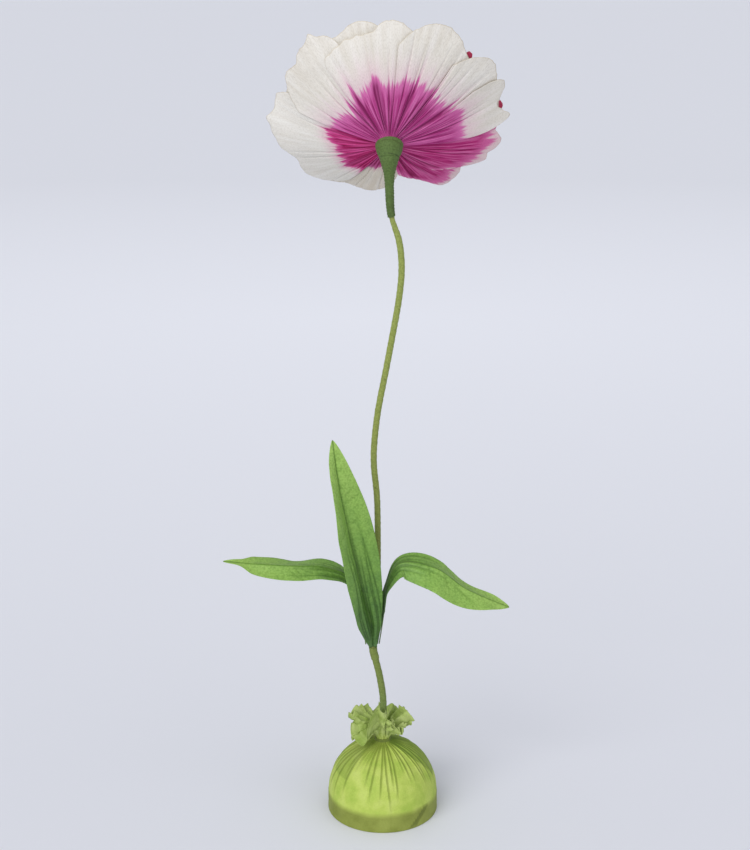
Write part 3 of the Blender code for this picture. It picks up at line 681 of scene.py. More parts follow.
for name, spec in LEAVES.items():
    rng = np.random.default_rng(spec["seed"])
    line = even_line(spline(spec["rib"], 8), 97)
    looks = [Vector(v).normalized() for v in spec["facing"]]
    points = np.zeros((LEAF_ROWS, 2 * LEAF_HALF + 1, 3))
    normals = np.zeros_like(points)
    flat = np.zeros((LEAF_ROWS, 2 * LEAF_HALF + 1, 2))
    back = []
    for i in range(LEAF_ROWS):
        t = i / (LEAF_ROWS - 1)
        point, along = at_fraction(line, t)
        facing, _ = at_fraction(looks, t)
        facing = (facing - along * facing.dot(along)).normalized()
        right = along.cross(facing)
        sheath = 1 - float(smooth_step(0.05, 0.35, t))
        for j in range(-LEAF_HALF, LEAF_HALF + 1):
            half = 1 if j > 0 else 0
            share = abs(j) / LEAF_HALF
            way = right if j > 0 else -right
            s = min(max(t - spec["stalk"], 0) / (1 - spec["stalk"]), 1)
            blade = math.sin(math.pi * s**spec["swell"][half]) ** 0.8 if 0 < s < 1 else 0.0
            blade *= 1 - spec["nip"] * float(smooth_step(0.80, 0.90, s))
            clasp = spec["clasp"] * (1 - float(smooth_step(0.0, 0.30 + spec["stalk"], t)))
            blade = spec["half"][half] * blade
            width = (blade**3 + clasp**3) ** (1 / 3) + 0.0006
            fold = math.radians(spec["fold"][half]) * (1 - sheath) + math.radians(42) * sheath
            fold *= float(smooth_step(0.0, 0.2, 1 - t))
            curl = fold * (1 - 0.35 * share)
            column = LEAF_HALF - j
            spot = point + width * share * (way * math.cos(curl) + facing * math.sin(curl))
            points[i, column] = spot
            slope = 0 if j == 0 else fold * (1 - 0.3 * share)
            normals[i, column] = facing * math.cos(slope) - way * math.sin(slope)
            flat[i, column] = (math.copysign(width * share, j), t * (line[-1] - line[0]).length)
        back.append(point - facing * 0.0020)
    length = flat[-1, 0, 1]
    across, distance = flat[..., 0], flat[..., 1]
    t = distance / length
    span = np.maximum(np.abs(across).max(axis=1, keepdims=True), 1e-5)
    # Long creases start at the root, spread over the blade and fade towards the tip.
    crease = np.zeros_like(across)
    for start, end, reach in zip(rng.uniform(-0.9, 0.9, 15), rng.uniform(-0.85, 0.85, 15),
                                 rng.uniform(0.30, 0.85, 15)):
        route = span * (start * (1 - t) + (0.55 * start + 0.45 * end) * t)
        depth = (1 - smooth_step(reach * 0.6, reach, t)) * smooth_step(0.02, 0.08, t)
        crease = np.maximum(crease, depth * np.exp(-((across - route) / 0.0013) ** 2))
    for _ in range(9):      # short slanting creases where the paper was handled
        middle = (rng.uniform(-0.6, 0.6) * 0.030, rng.uniform(0.15, 0.85) * length)
        slant, size = rng.uniform(0.4, 1.3), rng.uniform(0.006, 0.016)
        du, dv = across - middle[0], distance - middle[1]
        off = du * math.cos(slant) - dv * math.sin(slant)
        on = du * math.sin(slant) + dv * math.cos(slant)
        crease = np.maximum(crease, 0.6 * np.exp(-(off / 0.0012) ** 2 - (on / size) ** 2))
    rib = np.exp(-(across / 0.0011) ** 2)
    wave = noise_at(flat * [1.0, 0.45], 0.012, spec["seed"])
    buckle = noise_at(flat * [1.0, 0.6], 0.030, spec["seed"] + 10)
    flutter = np.sin(distance / 0.013 + 2 * spec["seed"] + np.sign(across)) * (np.abs(across) / span) ** 3
    swell = smooth_step(0.03, 0.2, t) * (1 - smooth_step(0.93, 1.0, t))
    lift = swell * (0.0011 * wave + 0.0028 * buckle * (np.abs(across) / span) + 0.0012 * flutter)
    lift -= (0.0011 * crease + 0.0005 * rib) * smooth_step(0.04, 0.14, t)
    mesh = grid_mesh(name + "_paper", points + normals * lift[..., None], {
        "along_leaf": t + 0 * across, "crease": np.maximum(0.75 * crease, 0.8 * rib)})
    leaf = add_object(mesh, leaf_paper)
    thicken(leaf, LEAF_THICKNESS)
    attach(leaf, "root")
    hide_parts(name)
    wire = add_object(line_mesh(name + "_wire", back[:-4], np.full(len(back) - 4, 0.0008)), None)
    grow(wire, winding, {"Lap pitch": 0.004, "Lap step": 0.0001, "Sides": 8, "Spacing": 0.002,
                         "Crease": 0.0001, "Seed": spec["seed"], "Material": leaf_wire})
    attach(wire, "root")
    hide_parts(name.replace("leaf", "leaf_wire"))

kept = [p for p in stem_line if 0.2505 < p.z < 0.2705]
bind = add_object(line_mesh("leaf_tape_wound", kept, [stem_radius(p.z) + 0.0008 for p in kept]), None)
grow(bind, winding, {"Lap pitch": 0.006, "Lap step": 0.0004, "Sides": 24, "Spacing": 0.0008,
                     "Crease": 0.0006, "Seed": 4, "Material": stem_tape})
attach(bind, "root")
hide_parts("leaf_tape")


# ---------------------------------------------------------------- calyx
# The petals' roots are gathered and bound on the rod with dark green tape, wound in close
# overlapping turns from a funnel at the flower down to a sleeve on the stem.
depths = [-0.110, -0.070, -0.055, -0.040, -0.022, -0.012, -0.002]
radii = [0.0051, 0.0060, 0.0062, 0.0076, 0.0132, 0.0174, 0.0193]
# The last colour is the painted shade at the foot of each lap.
calyx_tape = wound_tape("dark green crepe tape", [
    (0.85, "#566c30"), (0.95, "#4f6430"), (1.05, "#587036")], "#3f4a2a", 0.72)
kept = [p for p in stem_line if p.z > 0.928 and (p - MOUTH).dot(FACE) < -0.0012]
calyx = add_object(line_mesh("calyx_taped", kept, [
    float(np.interp(-(p - MOUTH).length, depths, radii)) - 0.0002 for p in kept]), None)
grow(calyx, winding, {"Lap pitch": 0.0042, "Lap step": 0.00080, "Sides": 48, "Spacing": 0.0006,
                      "Crease": 0.0008, "Seed": 6, "Material": calyx_tape})
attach(calyx, "root")
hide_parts("calyx_wrap")


# ---------------------------------------------------------------- petals
# Nine outer and six inner petals of doubled crepe paper, stretched into shallow cups. Their
# roots are pleated and bound together, so fine pleats fan out and soften towards the rims.
# Each was dipped in magenta dye, which crept up the grain in streaks; two took it nearly all.
PETAL_SHEET = 0.0004
ROOT_RADIUS = 0.0130
ROOT_DEPTH = 0.007
SHINGLE = 0.0016
INNER_LIFT = -0.0068
COLUMN = 0.55               # degrees of the cup a column of the grid
ROWS = 84


def cup_angle(run):
    flare = smooth_step(-ROOT_DEPTH, 0.010, run)
    return np.radians(4 + flare * 72 - 30 * np.maximum(run - 0.010, 0) / 0.175)


runs = np.arange(-ROOT_DEPTH, 0.235, 0.001)
cup_radii = ROOT_RADIUS + np.concatenate([[0], np.cumsum(0.001 * np.sin(cup_angle(runs[1:])))])
cup_heights = -ROOT_DEPTH + np.concatenate([[0], np.cumsum(0.001 * np.cos(cup_angle(runs[1:])))])


def cup(angle, run, lift):
    """Points of the cup, lifted off its back by lift, and the way its back faces."""
    radius = np.interp(run, runs, cup_radii)
    height = np.interp(run, runs, cup_heights)
    slope = cup_angle(run)
    flat = np.where(height > 0, 1 - 0.34 * smooth_step(-0.25, 0.40, -np.sin(angle)), 1.0)
    outward = (np.cos(angle)[..., None] * np.array(ACROSS)
               + np.sin(angle)[..., None] * np.array(RISE))
    face = np.array(FACE)
    back = outward * (np.cos(slope) * flat)[..., None] - np.sin(slope)[..., None] * face
    back /= np.linalg.norm(back, axis=-1, keepdims=True)
    spot = np.array(MOUTH) + outward * radius[..., None] + face * (height * flat)[..., None]
    return spot + back * lift[..., None], back


# The pleats, creases and ruffles follow one rule for the whole head, so that neighbouring
# petals nest; only the edges that lie on top stand off by themselves.
pleats, given = new_tree("crepe_pleats", {
    "Pleats": 52.0, "Pleat depth": 0.0021, "Pleat reach": 0.100, "Creases": 27.0,
    "Crease depth": 0.0020, "Ruffles": 15.0, "Ruffle height": 0.0046, "Edge lift": 0.0013,
    "Grain": 0.00022, "Seed": 3, "Material": None})


def value_of(label):
    return add_node(pleats, "GeometryNodeInputNamedAttribute", {"Name": label}, data_type="FLOAT")


def math_of(operation, *values):
    return add_node(pleats, "ShaderNodeMath", dict(enumerate(values)), operation=operation)


turned, run, rim, edge = (value_of(label) for label in ("around", "run", "rim_share", "edge_rise"))


def swerve(scale, amount, shift):
    """Uneven spacing: the angle plus smooth noise along it."""
    seeded = math_of("ADD", turned, given["Seed"])
    seeded = math_of("ADD", seeded, shift)
    wobble = add_node(pleats, "ShaderNodeTexNoise", {"W": seeded, "Scale": scale, "Detail": 2.0},
                      noise_dimensions="1D")
    wobble = math_of("SUBTRACT", wobble, 0.5)
    return math_of("MULTIPLY_ADD", wobble, amount, turned)


def fade_of(value, start, end):
    return add_node(pleats, "ShaderNodeMapRange",
                    {"Value": value, "From Min": start, "From Max": end}, interpolation_type="SMOOTHSTEP")


half = math_of("MULTIPLY", given["Pleats"], 0.5)
wave = math_of("MULTIPLY", swerve(4.0, 0.55, 0.0), half)
wave = math_of("ABSOLUTE", math_of("SINE", wave))
wave = math_of("SUBTRACT", math_of("POWER", wave, 0.55), 0.70)
here = math_of("MULTIPLY", fade_of(run, -0.003, 0.014),
               math_of("SUBTRACT", 1.0, fade_of(run, 0.020, given["Pleat reach"])))
here = math_of("MULTIPLY_ADD", here, 0.93, 0.07)
here = math_of("MULTIPLY", here, fade_of(run, -0.003, 0.014))
pleat = math_of("MULTIPLY", math_of("MULTIPLY", wave, here), given["Pleat depth"])

half = math_of("MULTIPLY", given["Creases"], 0.5)
bend = math_of("MULTIPLY", swerve(2.2, 0.9, 5.0), half)
number = math_of("FLOOR", math_of("DIVIDE", bend, math.pi))
reach = add_node(pleats, "ShaderNodeTexWhiteNoise", {"W": number}, noise_dimensions="1D")
reach = math_of("MULTIPLY_ADD", reach, 0.13, 0.080)
valley = math_of("SUBTRACT", 1.0, math_of("ABSOLUTE", math_of("SINE", bend)))
valley = math_of("POWER", valley, 3.5)
alive = math_of("SUBTRACT", 1.0, fade_of(run, math_of("MULTIPLY", reach, 0.55), reach))
alive = math_of("MULTIPLY", alive, fade_of(run, 0.000, 0.022))
valley = math_of("MULTIPLY", valley, alive)
deep = math_of("MULTIPLY", valley, given["Crease depth"])

spin = math_of("DIVIDE", given["Ruffles"], 2 * math.pi)
spread = add_node(pleats, "ShaderNodeCombineXYZ", {0: math_of("MULTIPLY", turned, spin),
                                                  1: math_of("MULTIPLY", run, 14.0),
                                                  2: given["Seed"]})
ruffle = add_node(pleats, "ShaderNodeTexNoise", {"Vector": spread, "Scale": 1.0, "Detail": 1.5})
ruffle = math_of("MULTIPLY", math_of("SUBTRACT", ruffle, 0.5), 2.6)
ruffle = math_of("MULTIPLY", ruffle, math_of("POWER", rim, 2.2))
ruffle = math_of("MULTIPLY", ruffle, given["Ruffle height"])
stand = math_of("MULTIPLY", math_of("MULTIPLY", edge, math_of("POWER", rim, 3.0)),
                given["Edge lift"])
rows_of = add_node(pleats, "ShaderNodeCombineXYZ", {0: math_of("MULTIPLY", turned, 62.0),
                                                   1: math_of("MULTIPLY", run, 55.0)})
grain = add_node(pleats, "ShaderNodeTexNoise", {"Vector": rows_of, "Scale": 1.0, "Detail": 2.0})
grain = math_of("MULTIPLY", math_of("SUBTRACT", grain, 0.5), given["Grain"])
grain = math_of("MULTIPLY", grain, fade_of(run, 0.0, 0.03))
total = math_of("SUBTRACT", math_of("ADD", pleat, ruffle), deep)
total = math_of("ADD", math_of("ADD", total, stand), grain)
back = add_node(pleats, "GeometryNodeInputNamedAttribute", {"Name": "back"}, data_type="FLOAT_VECTOR")
move = add_node(pleats, "ShaderNodeVectorMath", {0: back, "Scale": total}, operation="SCALE")
sheet = add_node(pleats, "GeometryNodeSetPosition", {"Geometry": given["Geometry"], "Offset": move})
hollow = math_of("MULTIPLY_ADD", math_of("MULTIPLY", wave, here), -1.1, valley)
sheet = add_node(pleats, "GeometryNodeStoreNamedAttribute",
                 {"Geometry": sheet, "Name": "hollow", "Value": hollow}, domain="POINT")
end_tree(pleats, sheet, given["Material"])


def crepe_paper(name, creams, pinks, deep, mid, light, fade, soft, bleed):
    """Dip-dyed crepe: cream paper, a pale tide of pink, then streaked dye, darker in hollows, partly
    where dye pools and partly as painted shade.

    In mm: fade is the width of the pink tide, soft that of the dye's thin edge, and bleed how
    far dye creeps along the grain."""
    made, tree, shader = new_material(name, roughness=0.85, specular=0.2)

    def mix(factor, first, second, blend="MIX"):
        return add_node(tree, "ShaderNodeMix", {0: factor, 6: first, 7: second}, out=2,
                        data_type="RGBA", blend_type=blend)

    def maths(operation, *values):
        return add_node(tree, "ShaderNodeMath", dict(enumerate(values)), operation=operation)

    past = add_node(tree, "ShaderNodeAttribute", out="Fac", attribute_name="past_dye")
    place = add_node(tree, "ShaderNodeAttribute", out="Vector", attribute_name="grain")
    hollow = add_node(tree, "ShaderNodeAttribute", out="Fac", attribute_name="hollow")
    stained = add_node(tree, "ShaderNodeAttribute", out="Fac", attribute_name="stained")
    to_rim = add_node(tree, "ShaderNodeAttribute", out="Fac", attribute_name="to_rim")

    def streaks(width, length, detail=2.0):
        """Noise drawn out along the grain; width and length in metres."""
        stretched = add_node(tree, "ShaderNodeMapping",
                             {"Vector": place, "Scale": (1 / width, 1 / length, 1.0)})
        return add_node(tree, "ShaderNodeTexNoise", {"Vector": stretched, "Scale": 1.0,
                                                     "Detail": detail})

    fine = streaks(0.0013, 0.045)
    broad = streaks(0.0050, 0.090)
    crinkle = streaks(0.0007, 0.0035, 3.0)
    creep = maths("MULTIPLY", maths("SUBTRACT", fine, 0.5), bleed * 1.3)
    creep = maths("MULTIPLY_ADD", maths("SUBTRACT", broad, 0.5), bleed * 2.6, creep)
    creep = maths("MULTIPLY_ADD", maths("MAXIMUM", hollow, -0.2), bleed * 1.1, creep)
    edge = maths("SUBTRACT", past, creep)
    # From soaked to dry, in mm past the tide mark: full dye, its thin edge, a pale tide, paper.
    tide = add_node(tree, "ShaderNodeMapRange", {"Value": edge, "From Min": 4.0, "From Max": fade,
                                                "To Min": 1.0, "To Max": 0.0})
    tide = maths("POWER", tide, 2.0)
    thin = add_node(tree, "ShaderNodeMapRange", {"Value": edge, "From Min": soft, "From Max": 0.0},
                    interpolation_type="SMOOTHSTEP")
    full = add_node(tree, "ShaderNodeMapRange", {"Value": edge, "From Min": 0.0,
                                                "From Max": -1.4 * soft})
    paper = ramp(tree, broad, [(0.30, creams[0]), (0.70, creams[1])])
    paper = mix(tide, paper, ramp(tree, fine, [(0.30, pinks[0]), (0.70, pinks[1])]))
    dye = ramp(tree, maths("MULTIPLY_ADD", maths("SUBTRACT", broad, 0.5), 1.5, fine),
               [(0.15, deep), (0.42, mid), (0.75, light)])
    # The dye is darkened in the pleat hollows: partly pooled dye, partly painted shade.
    hollow_dye_and_shade = add_node(tree, "ShaderNodeMapRange", {"Value": hollow, "From Min": 0.0, "From Max": 0.8})
    dye = mix(maths("MULTIPLY", hollow_dye_and_shade, 0.85), dye, linear(deep))
    dye = mix(full, linear(light), dye)
    tint = mix(thin, paper, dye)
    # Partly painted shade: a warm darker band in the last mm or two of each rim, partly the doubled paper
    # at the folded edge.
    rim_shade = add_node(tree, "ShaderNodeMapRange", {"Value": to_rim, "From Min": 1.6, "From Max": 0.2})
    tint = mix(maths("MULTIPLY", rim_shade, 0.45), tint, linear("#d3c6a3"), "MULTIPLY")
    tint = mix(stained, tint, linear("#c2405f"))
    # Painted shade: the fine crinkle darkens the colour where its bump dips.
    tint = mix(0.55, tint, ramp(tree, crinkle, [(0.25, "#d9d6d0"), (0.55, "#ffffff")]), "MULTIPLY")
    tree.links.new(tint, shader.inputs["Base Color"])
    bump = add_node(tree, "ShaderNodeBump", {"Height": crinkle, "Strength": 0.45,
                                            "Distance": 0.0005})
    bump = add_node(tree, "ShaderNodeBump", {"Height": fine, "Strength": 0.35,
                                            "Distance": 0.0006, "Normal": bump})
    tree.links.new(bump, shader.inputs["Normal"])
    glow = add_node(tree, "ShaderNodeBsdfTranslucent", {"Color": tint, "Normal": bump})
    both = add_node(tree, "ShaderNodeMixShader", {0: 0.18, 1: shader.outputs[0], 2: glow})
    tree.links.new(both, tree.nodes["Material Output"].inputs["Surface"])
    return made


violet = crepe_paper("dip dyed crepe, violet pink", ("#ebe5d9", "#f8f4ec"), ("#e9c3d0", "#f2dcdf"),
                     "#86205a", "#bf3f8b", "#de74b4", 62.0, 10.0, 15.0)
crimson = crepe_paper("dip dyed crepe, crimson", ("#ece7dd", "#f7f4ed"), ("#e6afc4", "#f2d3da"),
                      "#861546", "#bf2a70", "#dc5a9e", 30.0, 5.0, 13.0)
rose = crepe_paper("dip dyed crepe, full rose", ("#eed3d6", "#f3e0de"), ("#e08fb6", "#eeb9cd"),
                   "#8a1650", "#c4317f", "#e06fac", 26.0, 14.0, 24.0)
cream = crepe_paper("cream crepe", ("#e6dccb", "#efe8dc"), ("#e3b6c0", "#edd2d2"),
                    "#9a1f56", "#b93a7a", "#d064a0", 20.0, 6.0, 9.0)

# Each petal: the outline of its rim as (degrees round the head, mm from the calyx), how far
# its sheet is lifted, which edge lies on top, and how far the dye reached, as (degrees, mm).
PETALS = {
    "outer_petal_1": dict(lift=0.0016, top=0, paper=violet, rim=[
        (-10, 60), (-9, 130), (-7, 166), (-5, 184), (-3, 179), (0, 166), (3, 158), (6, 154),
        (9, 163), (12, 172), (16, 173), (19, 166), (22, 150), (24, 120)],
        dye=[(-10, 98), (0, 92), (9, 88), (16, 96), (24, 84)]),
    "outer_petal_2": dict(lift=0.0, top=1, paper=violet, rim=[
        (9, 140), (14, 156), (20, 164), (27, 171), (31, 170), (35, 166), (40, 156), (44, 146),
        (49, 128)], dye=[(9, 86), (22, 80), (36, 72), (49, 74)]),
    "outer_petal_3": dict(lift=0.0, top=1, paper=violet, rim=[
        (39, 135), (42, 149), (47, 155), (53, 165), (60, 172), (66, 170), (70, 167), (76, 156),
        (80, 148), (85, 132)], dye=[(39, 70), (54, 79), (72, 80), (85, 72)]),
    "outer_petal_4": dict(lift=0.0, top=1, paper=violet, rim=[
        (72, 138), (78, 152), (84, 162), (89, 165), (93, 163), (96, 158), (98, 151), (101, 150),
        (104, 148), (108, 150), (111, 147), (115, 149), (118, 144), (122, 143), (125, 139),
        (130, 137), (132, 120)], dye=[(72, 80), (89, 70), (103, 77), (118, 70), (132, 62)]),
    "outer_petal_5": dict(lift=0.0, top=1, paper=violet, rim=[
        (118, 140), (121, 158), (125, 166), (128, 167), (130, 176), (131, 179), (132.5, 172),
        (136, 168), (142, 166), (146, 157), (149, 158), (153, 161), (157, 161), (162, 152),
        (167, 140), (173, 122)], dye=[(118, 64), (133, 54), (146, 52), (158, 60), (173, 64)]),
    "outer_petal_6": dict(lift=0.0, top=1, paper=crimson, rim=[
        (159, 92), (161, 118), (164, 138), (168, 156), (172, 168), (176, 169), (180, 169),
        (183, 176), (186, 187), (189, 179), (193, 180), (197, 175), (201, 174), (206, 163),
        (211, 156), (217, 165), (223, 171), (227, 160), (232, 146), (237, 130), (241, 108)],
        dye=[(159, 67), (172, 70), (183, 77), (194, 68), (205, 64), (219, 71), (241, 66)]),
    "outer_petal_7": dict(lift=-0.0014, top=0, paper=cream, rim=[
        (229, 150), (234, 151), (239, 143), (244, 134), (250, 138), (256, 142), (262, 136),
        (268, 122), (274, 96), (280, 68), (288, 50)], dye=[(229, 62), (250, 50), (288, 40)]),
    "outer_petal_8": dict(lift=0.0, top=-1, paper=rose, rim=[
        (280, 66), (284, 76), (289, 88), (294, 104), (297, 128), (300, 157), (304, 163),
        (307, 158), (310, 157), (313, 150), (316, 146), (320, 136), (326, 120)],
        dye=[(280, 62), (290, 88), (300, 132), (306, 138), (316, 124), (326, 110)]),
    "outer_petal_9": dict(lift=0.0, top=-1, paper=rose, rim=[
        (311, 86), (316, 108), (322, 134), (326, 158), (329, 171), (332, 166), (335, 160),
        (338, 173), (341, 179), (344, 176), (347, 166), (350, 158), (353, 160), (357, 150)],
        dye=[(311, 80), (322, 120), (328, 136), (334, 136), (340, 150), (348, 150), (357, 140)]),
    "inner_petal_1": dict(lift=INNER_LIFT, top=1, paper=violet, rim=[
        (73, 130), (80, 142), (88, 150), (94, 153), (98, 161), (102, 166), (106, 167),
        (111, 165), (115, 160), (119, 156), (124, 157), (130, 152), (136, 144), (141, 128)],
        dye=[(73, 60), (141, 60)]),
    "inner_petal_2": dict(lift=INNER_LIFT, top=1, paper=violet, rim=[
        (18, 120), (24, 138), (32, 148), (39, 150), (41, 159), (42, 156), (43, 160), (44.5, 152),
        (50, 152), (58, 154), (66, 150), (74, 144), (80, 136), (86, 122)],
        dye=[(18, 60), (86, 60)], stain=[(42, 2.2, 150)]),
    "inner_petal_3": dict(lift=INNER_LIFT, top=1, paper=violet, rim=[
        (-44, 118), (-38, 134), (-30, 146), (-22, 150), (-14, 152), (-6, 160), (-2, 172),
        (0, 174), (3, 168), (8, 160), (14, 154), (20, 146), (28, 128)],
        dye=[(-44, 60), (28, 60)], stain=[(0, 3.4, 166)]),
    "inner_petal_4": dict(lift=INNER_LIFT, top=1, paper=violet, rim=[
        (256, 116), (264, 110), (272, 88), (280, 62), (288, 76), (296, 104), (304, 134),
        (312, 136), (320, 130), (328, 112)], dye=[(256, 60), (328, 60)]),
    "inner_petal_5": dict(lift=INNER_LIFT, top=1, paper=cream, rim=[
        (196, 126), (204, 142), (212, 148), (220, 150), (228, 146), (236, 138), (244, 128),
        (252, 122), (260, 116), (268, 100)], dye=[(196, 60), (268, 60)]),
    "inner_petal_6": dict(lift=INNER_LIFT, top=1, paper=violet, rim=[
        (124, 122), (130, 140), (138, 152), (146, 156), (154, 158), (162, 156), (170, 152),
        (178, 148), (186, 140), (196, 124)], dye=[(124, 60), (196, 60)]),
}
for number, (name, spec) in enumerate(PETALS.items()):
    degrees, reaches = np.array(spec["rim"]).T
    columns = int((degrees[-1] - degrees[0]) / COLUMN) + 1
    angle = np.linspace(degrees[0], degrees[-1], columns)
    # The outline is eased over a degree or so, then nibbled, as torn and stretched crepe is.
    near = np.exp(-((angle[:, None] - angle[None, :]) / 0.9) ** 2)
    reach = (near @ np.interp(angle, degrees, reaches)) / near.sum(axis=1)
    nibble = [noise.noise((a * 0.45, number * 3.3, 0)) + 0.5 * noise.noise((a * 1.3, number, 4))
              for a in angle]
    reach = (reach + 1.3 * np.array(nibble)) / 1000
    share = np.linspace(0, 1, ROWS)[:, None]
    run = -ROOT_DEPTH + (reach[None, :] + ROOT_DEPTH) * share
    theta = np.radians(angle)[None, :] + 0 * run
    u = np.linspace(-1, 1, columns)[None, :] + 0 * run
    lift = spec["lift"] + spec["top"] * SHINGLE * u
    points, back = cup(theta, run, lift)
    reached = np.interp(angle, *np.array(spec["dye"]).T)
    stain = np.zeros_like(run)
    for middle, half, start in spec.get("stain", []):
        stain = np.maximum(stain, (np.abs(angle - middle) < half)[None, :]
                           * smooth_step(start - 3, start, run * 1000))
    rise = spec["top"] * u * np.abs(u)
    mesh = grid_mesh(name + "_crepe", points, {
        "around": theta, "run": run, "rim_share": run / reach[None, :].max(), "edge_rise": rise,
        "back": back, "past_dye": run * 1000 - reached[None, :], "stained": stain,
        "to_rim": (reach[None, :] - run) * 1000,
        "grain": np.stack([theta * 0.10, run, 0 * run + number * 0.37], axis=-1)})
    petal = add_object(mesh, None)
    grow(petal, pleats, {"Material": spec["paper"]}, depth=PETAL_SHEET)
    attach(petal, "root")
    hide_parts(name)


# ---------------------------------------------------------------- bud and stamens
# The heart of the flower is a ball of green crepe gathered over a wad and tied, with a ring
# of fringed crimson crepe round it, each strand twisted and tipped with a bead of dry paste.
to_face = Matrix.Translation(MOUTH) @ Vector((0, 0, 1)).rotation_difference(FACE).to_matrix().to_4x4()
rows, columns = 40, 96
tilt = np.radians(np.linspace(-78, 84, rows))[:, None]
spin = np.linspace(0, 2 * math.pi, columns, endpoint=False)[None, :]
gather = np.abs(np.sin(8 * spin + 0.8 * np.sin(3 * spin))) ** 0.6 - 0.6
bulge = 0.0124 + 0.0009 * gather * (0.35 + 0.65 * np.abs(np.sin(tilt)))
pinch = 0.0030 * smooth_step(1.05, 1.5, tilt)
bud_points = np.stack([bulge * np.cos(tilt) * np.cos(spin), bulge * np.cos(tilt) * np.sin(spin),
                       0.024 + bulge * np.sin(tilt) - pinch + 0 * spin], axis=-1)
bud_mesh = grid_mesh("centre_bud_crepe", bud_points, {"hollow": -1.3 * gather + 0 * tilt}, closed=True)
bud_mesh.transform(to_face)
bud_paper, tree, shader = new_material("gathered green crepe", roughness=0.85, specular=0.2)
where = add_node(tree, "ShaderNodeTexCoord", out="Object")
hollow = add_node(tree, "ShaderNodeAttribute", out="Fac", attribute_name="hollow")
spots = add_node(tree, "ShaderNodeTexNoise", {"Vector": where, "Scale": 500.0, "Detail": 3.0})
# Painted shade: the valleys between the gathers are darker green, and the fine spots darken where their
# bump dips.
tint = ramp(tree, hollow, [(0.1, "#a4b356"), (0.8, "#5f7430")])
tint = add_node(tree, "ShaderNodeMix", {0: 0.6, 6: tint, 7: ramp(tree, spots, [
    (0.3, "#c4c9a5"), (0.6, "#ffffff")])}, out=2, data_type="RGBA", blend_type="MULTIPLY")
tree.links.new(tint, shader.inputs["Base Color"])
bump = add_node(tree, "ShaderNodeBump", {"Height": spots, "Strength": 0.4, "Distance": 0.0006})
tree.links.new(bump, shader.inputs["Normal"])
bud = add_object(bud_mesh, bud_paper)
thicken(bud, 0.0006, offset=-1.0)
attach(bud, "root")
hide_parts("centre_bud")

fringe, given = new_tree("stamen_fringe", {
    "Strands": 150, "Ring radius": 0.0115, "Ring spread": 0.0035, "Length": 0.030, "Width": 0.0007,
    "Bead": 0.0013, "Lean": 0.52, "Seed": 5, "Material": None, "Bead material": None})
ring = add_node(fringe, "GeometryNodeMeshCircle", {"Vertices": given["Strands"],
                                                  "Radius": given["Ring radius"]})
dots = add_node(fringe, "GeometryNodeMeshToPoints", {"Mesh": ring})
spot = add_node(fringe, "GeometryNodeInputPosition")
away = add_node(fringe, "ShaderNodeVectorMath", {0: spot}, operation="NORMALIZE")


def chance(low, high, seed):
    made = add_node(fringe, "FunctionNodeRandomValue", {2: low, 3: high, "Seed": seed}, out=1,
                    data_type="FLOAT")
    return made


jitter = chance(-1.0, 1.0, 1)
jitter = add_node(fringe, "ShaderNodeMath", {0: jitter, 1: given["Ring spread"]}, operation="MULTIPLY")
shift = add_node(fringe, "ShaderNodeVectorMath", {0: away, "Scale": jitter}, operation="SCALE")
dots = add_node(fringe, "GeometryNodeSetPosition", {"Geometry": dots, "Offset": shift})
lean = add_node(fringe, "ShaderNodeMath", {0: chance(-0.24, 0.24, 2), 1: given["Lean"]},
                operation="ADD")
parts = [add_node(fringe, "ShaderNodeSeparateXYZ", {0: away}, out=axis) for axis in (0, 1)]
heading = add_node(fringe, "ShaderNodeMath", {0: parts[1], 1: parts[0]}, operation="ARCTAN2")
heading = add_node(fringe, "ShaderNodeMath", {0: heading, 1: chance(-0.35, 0.35, 3)}, operation="ADD")
turned_to = add_node(fringe, "ShaderNodeCombineXYZ", {1: lean, 2: heading})
height = add_node(fringe, "ShaderNodeCombineXYZ", {2: given["Length"]})
strand = add_node(fringe, "GeometryNodeCurvePrimitiveLine", {"End": height}, mode="POINTS")
strand = add_node(fringe, "GeometryNodeResampleCurve", {"Curve": strand, "Count": 6})
factor = add_node(fringe, "GeometryNodeSplineParameter", out="Factor")
sag = add_node(fringe, "ShaderNodeMath", {0: factor, 1: 2.0}, operation="POWER")
sag = add_node(fringe, "ShaderNodeMath", {0: sag, 1: 0.006}, operation="MULTIPLY")
sag = add_node(fringe, "ShaderNodeCombineXYZ", {0: sag})
strand = add_node(fringe, "GeometryNodeSetPosition", {"Geometry": strand, "Offset": sag})
girth = add_node(fringe, "ShaderNodeMath", {0: given["Width"], 1: 0.5}, operation="MULTIPLY")
profile = add_node(fringe, "GeometryNodeCurvePrimitiveCircle", {"Resolution": 5, "Radius": girth},
                   mode="RADIUS")
strand = add_node(fringe, "GeometryNodeCurveToMesh", {"Curve": strand, "Profile Curve": profile,
                                                     "Fill Caps": True})
strand = add_node(fringe, "GeometryNodeSetMaterial", {"Geometry": strand,
                                                     "Material": given["Material"]})
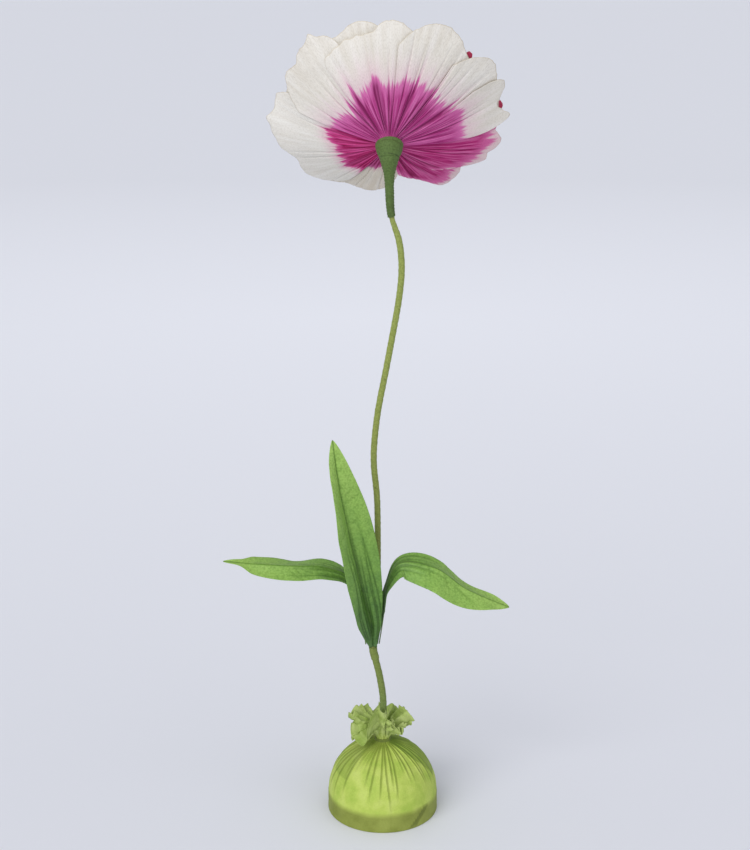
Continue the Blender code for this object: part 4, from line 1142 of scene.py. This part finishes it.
bead = add_node(fringe, "GeometryNodeMeshIcoSphere", {"Radius": given["Bead"], "Subdivisions": 2})
bead = add_node(fringe, "GeometryNodeSetMaterial", {"Geometry": bead,
                                                   "Material": given["Bead material"]})
tip = add_node(fringe, "ShaderNodeCombineXYZ", {0: 0.006, 2: given["Length"]})
bead = add_node(fringe, "GeometryNodeTransform", {"Geometry": bead, "Translation": tip,
                                                 "Scale": (0.75, 0.75, 1.25)})
join = fringe.nodes.new("GeometryNodeJoinGeometry")
fringe.links.new(strand, join.inputs[0])
fringe.links.new(bead, join.inputs[0])
stems = add_node(fringe, "GeometryNodeInstanceOnPoints", {
    "Points": dots, "Instance": join.outputs[0], "Rotation": turned_to, "Scale": chance(0.7, 1.12, 4)})
whole = add_node(fringe, "GeometryNodeRealizeInstances", {0: stems})
fringe.links.new(whole, fringe.nodes.new("NodeGroupOutput").inputs[0])

crimson_crepe, tree, shader = new_material("twisted crimson crepe", roughness=0.8, specular=0.25)
where = add_node(tree, "ShaderNodeTexCoord", out="Object")
spots = add_node(tree, "ShaderNodeTexNoise", {"Vector": where, "Scale": 260.0, "Detail": 3.0})
tree.links.new(ramp(tree, spots, [(0.3, "#a51d45"), (0.7, "#d2476a")]), shader.inputs["Base Color"])
paste, tree, shader = new_material("dry yellow flower paste", roughness=0.75, specular=0.3)
where = add_node(tree, "ShaderNodeTexCoord", out="Object")
spots = add_node(tree, "ShaderNodeTexNoise", {"Vector": where, "Scale": 900.0, "Detail": 4.0})
tree.links.new(ramp(tree, spots, [(0.3, "#c9a23a"), (0.7, "#e8cf72")]), shader.inputs["Base Color"])
stamens = add_object(bpy.data.meshes.new("stamen_fringe"), None)
grow(stamens, fringe, {"Material": crimson_crepe, "Bead material": paste})
stamens.data.transform(Matrix.Translation((0, 0, 0.011)))
stamens.data.transform(to_face)
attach(stamens, "root")
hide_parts("stamen_ring")


# ---------------------------------------------------------------- sizes, and the end
size = {"cad": [list(c) for c in cad_box], "visual": [list(c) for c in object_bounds()]}
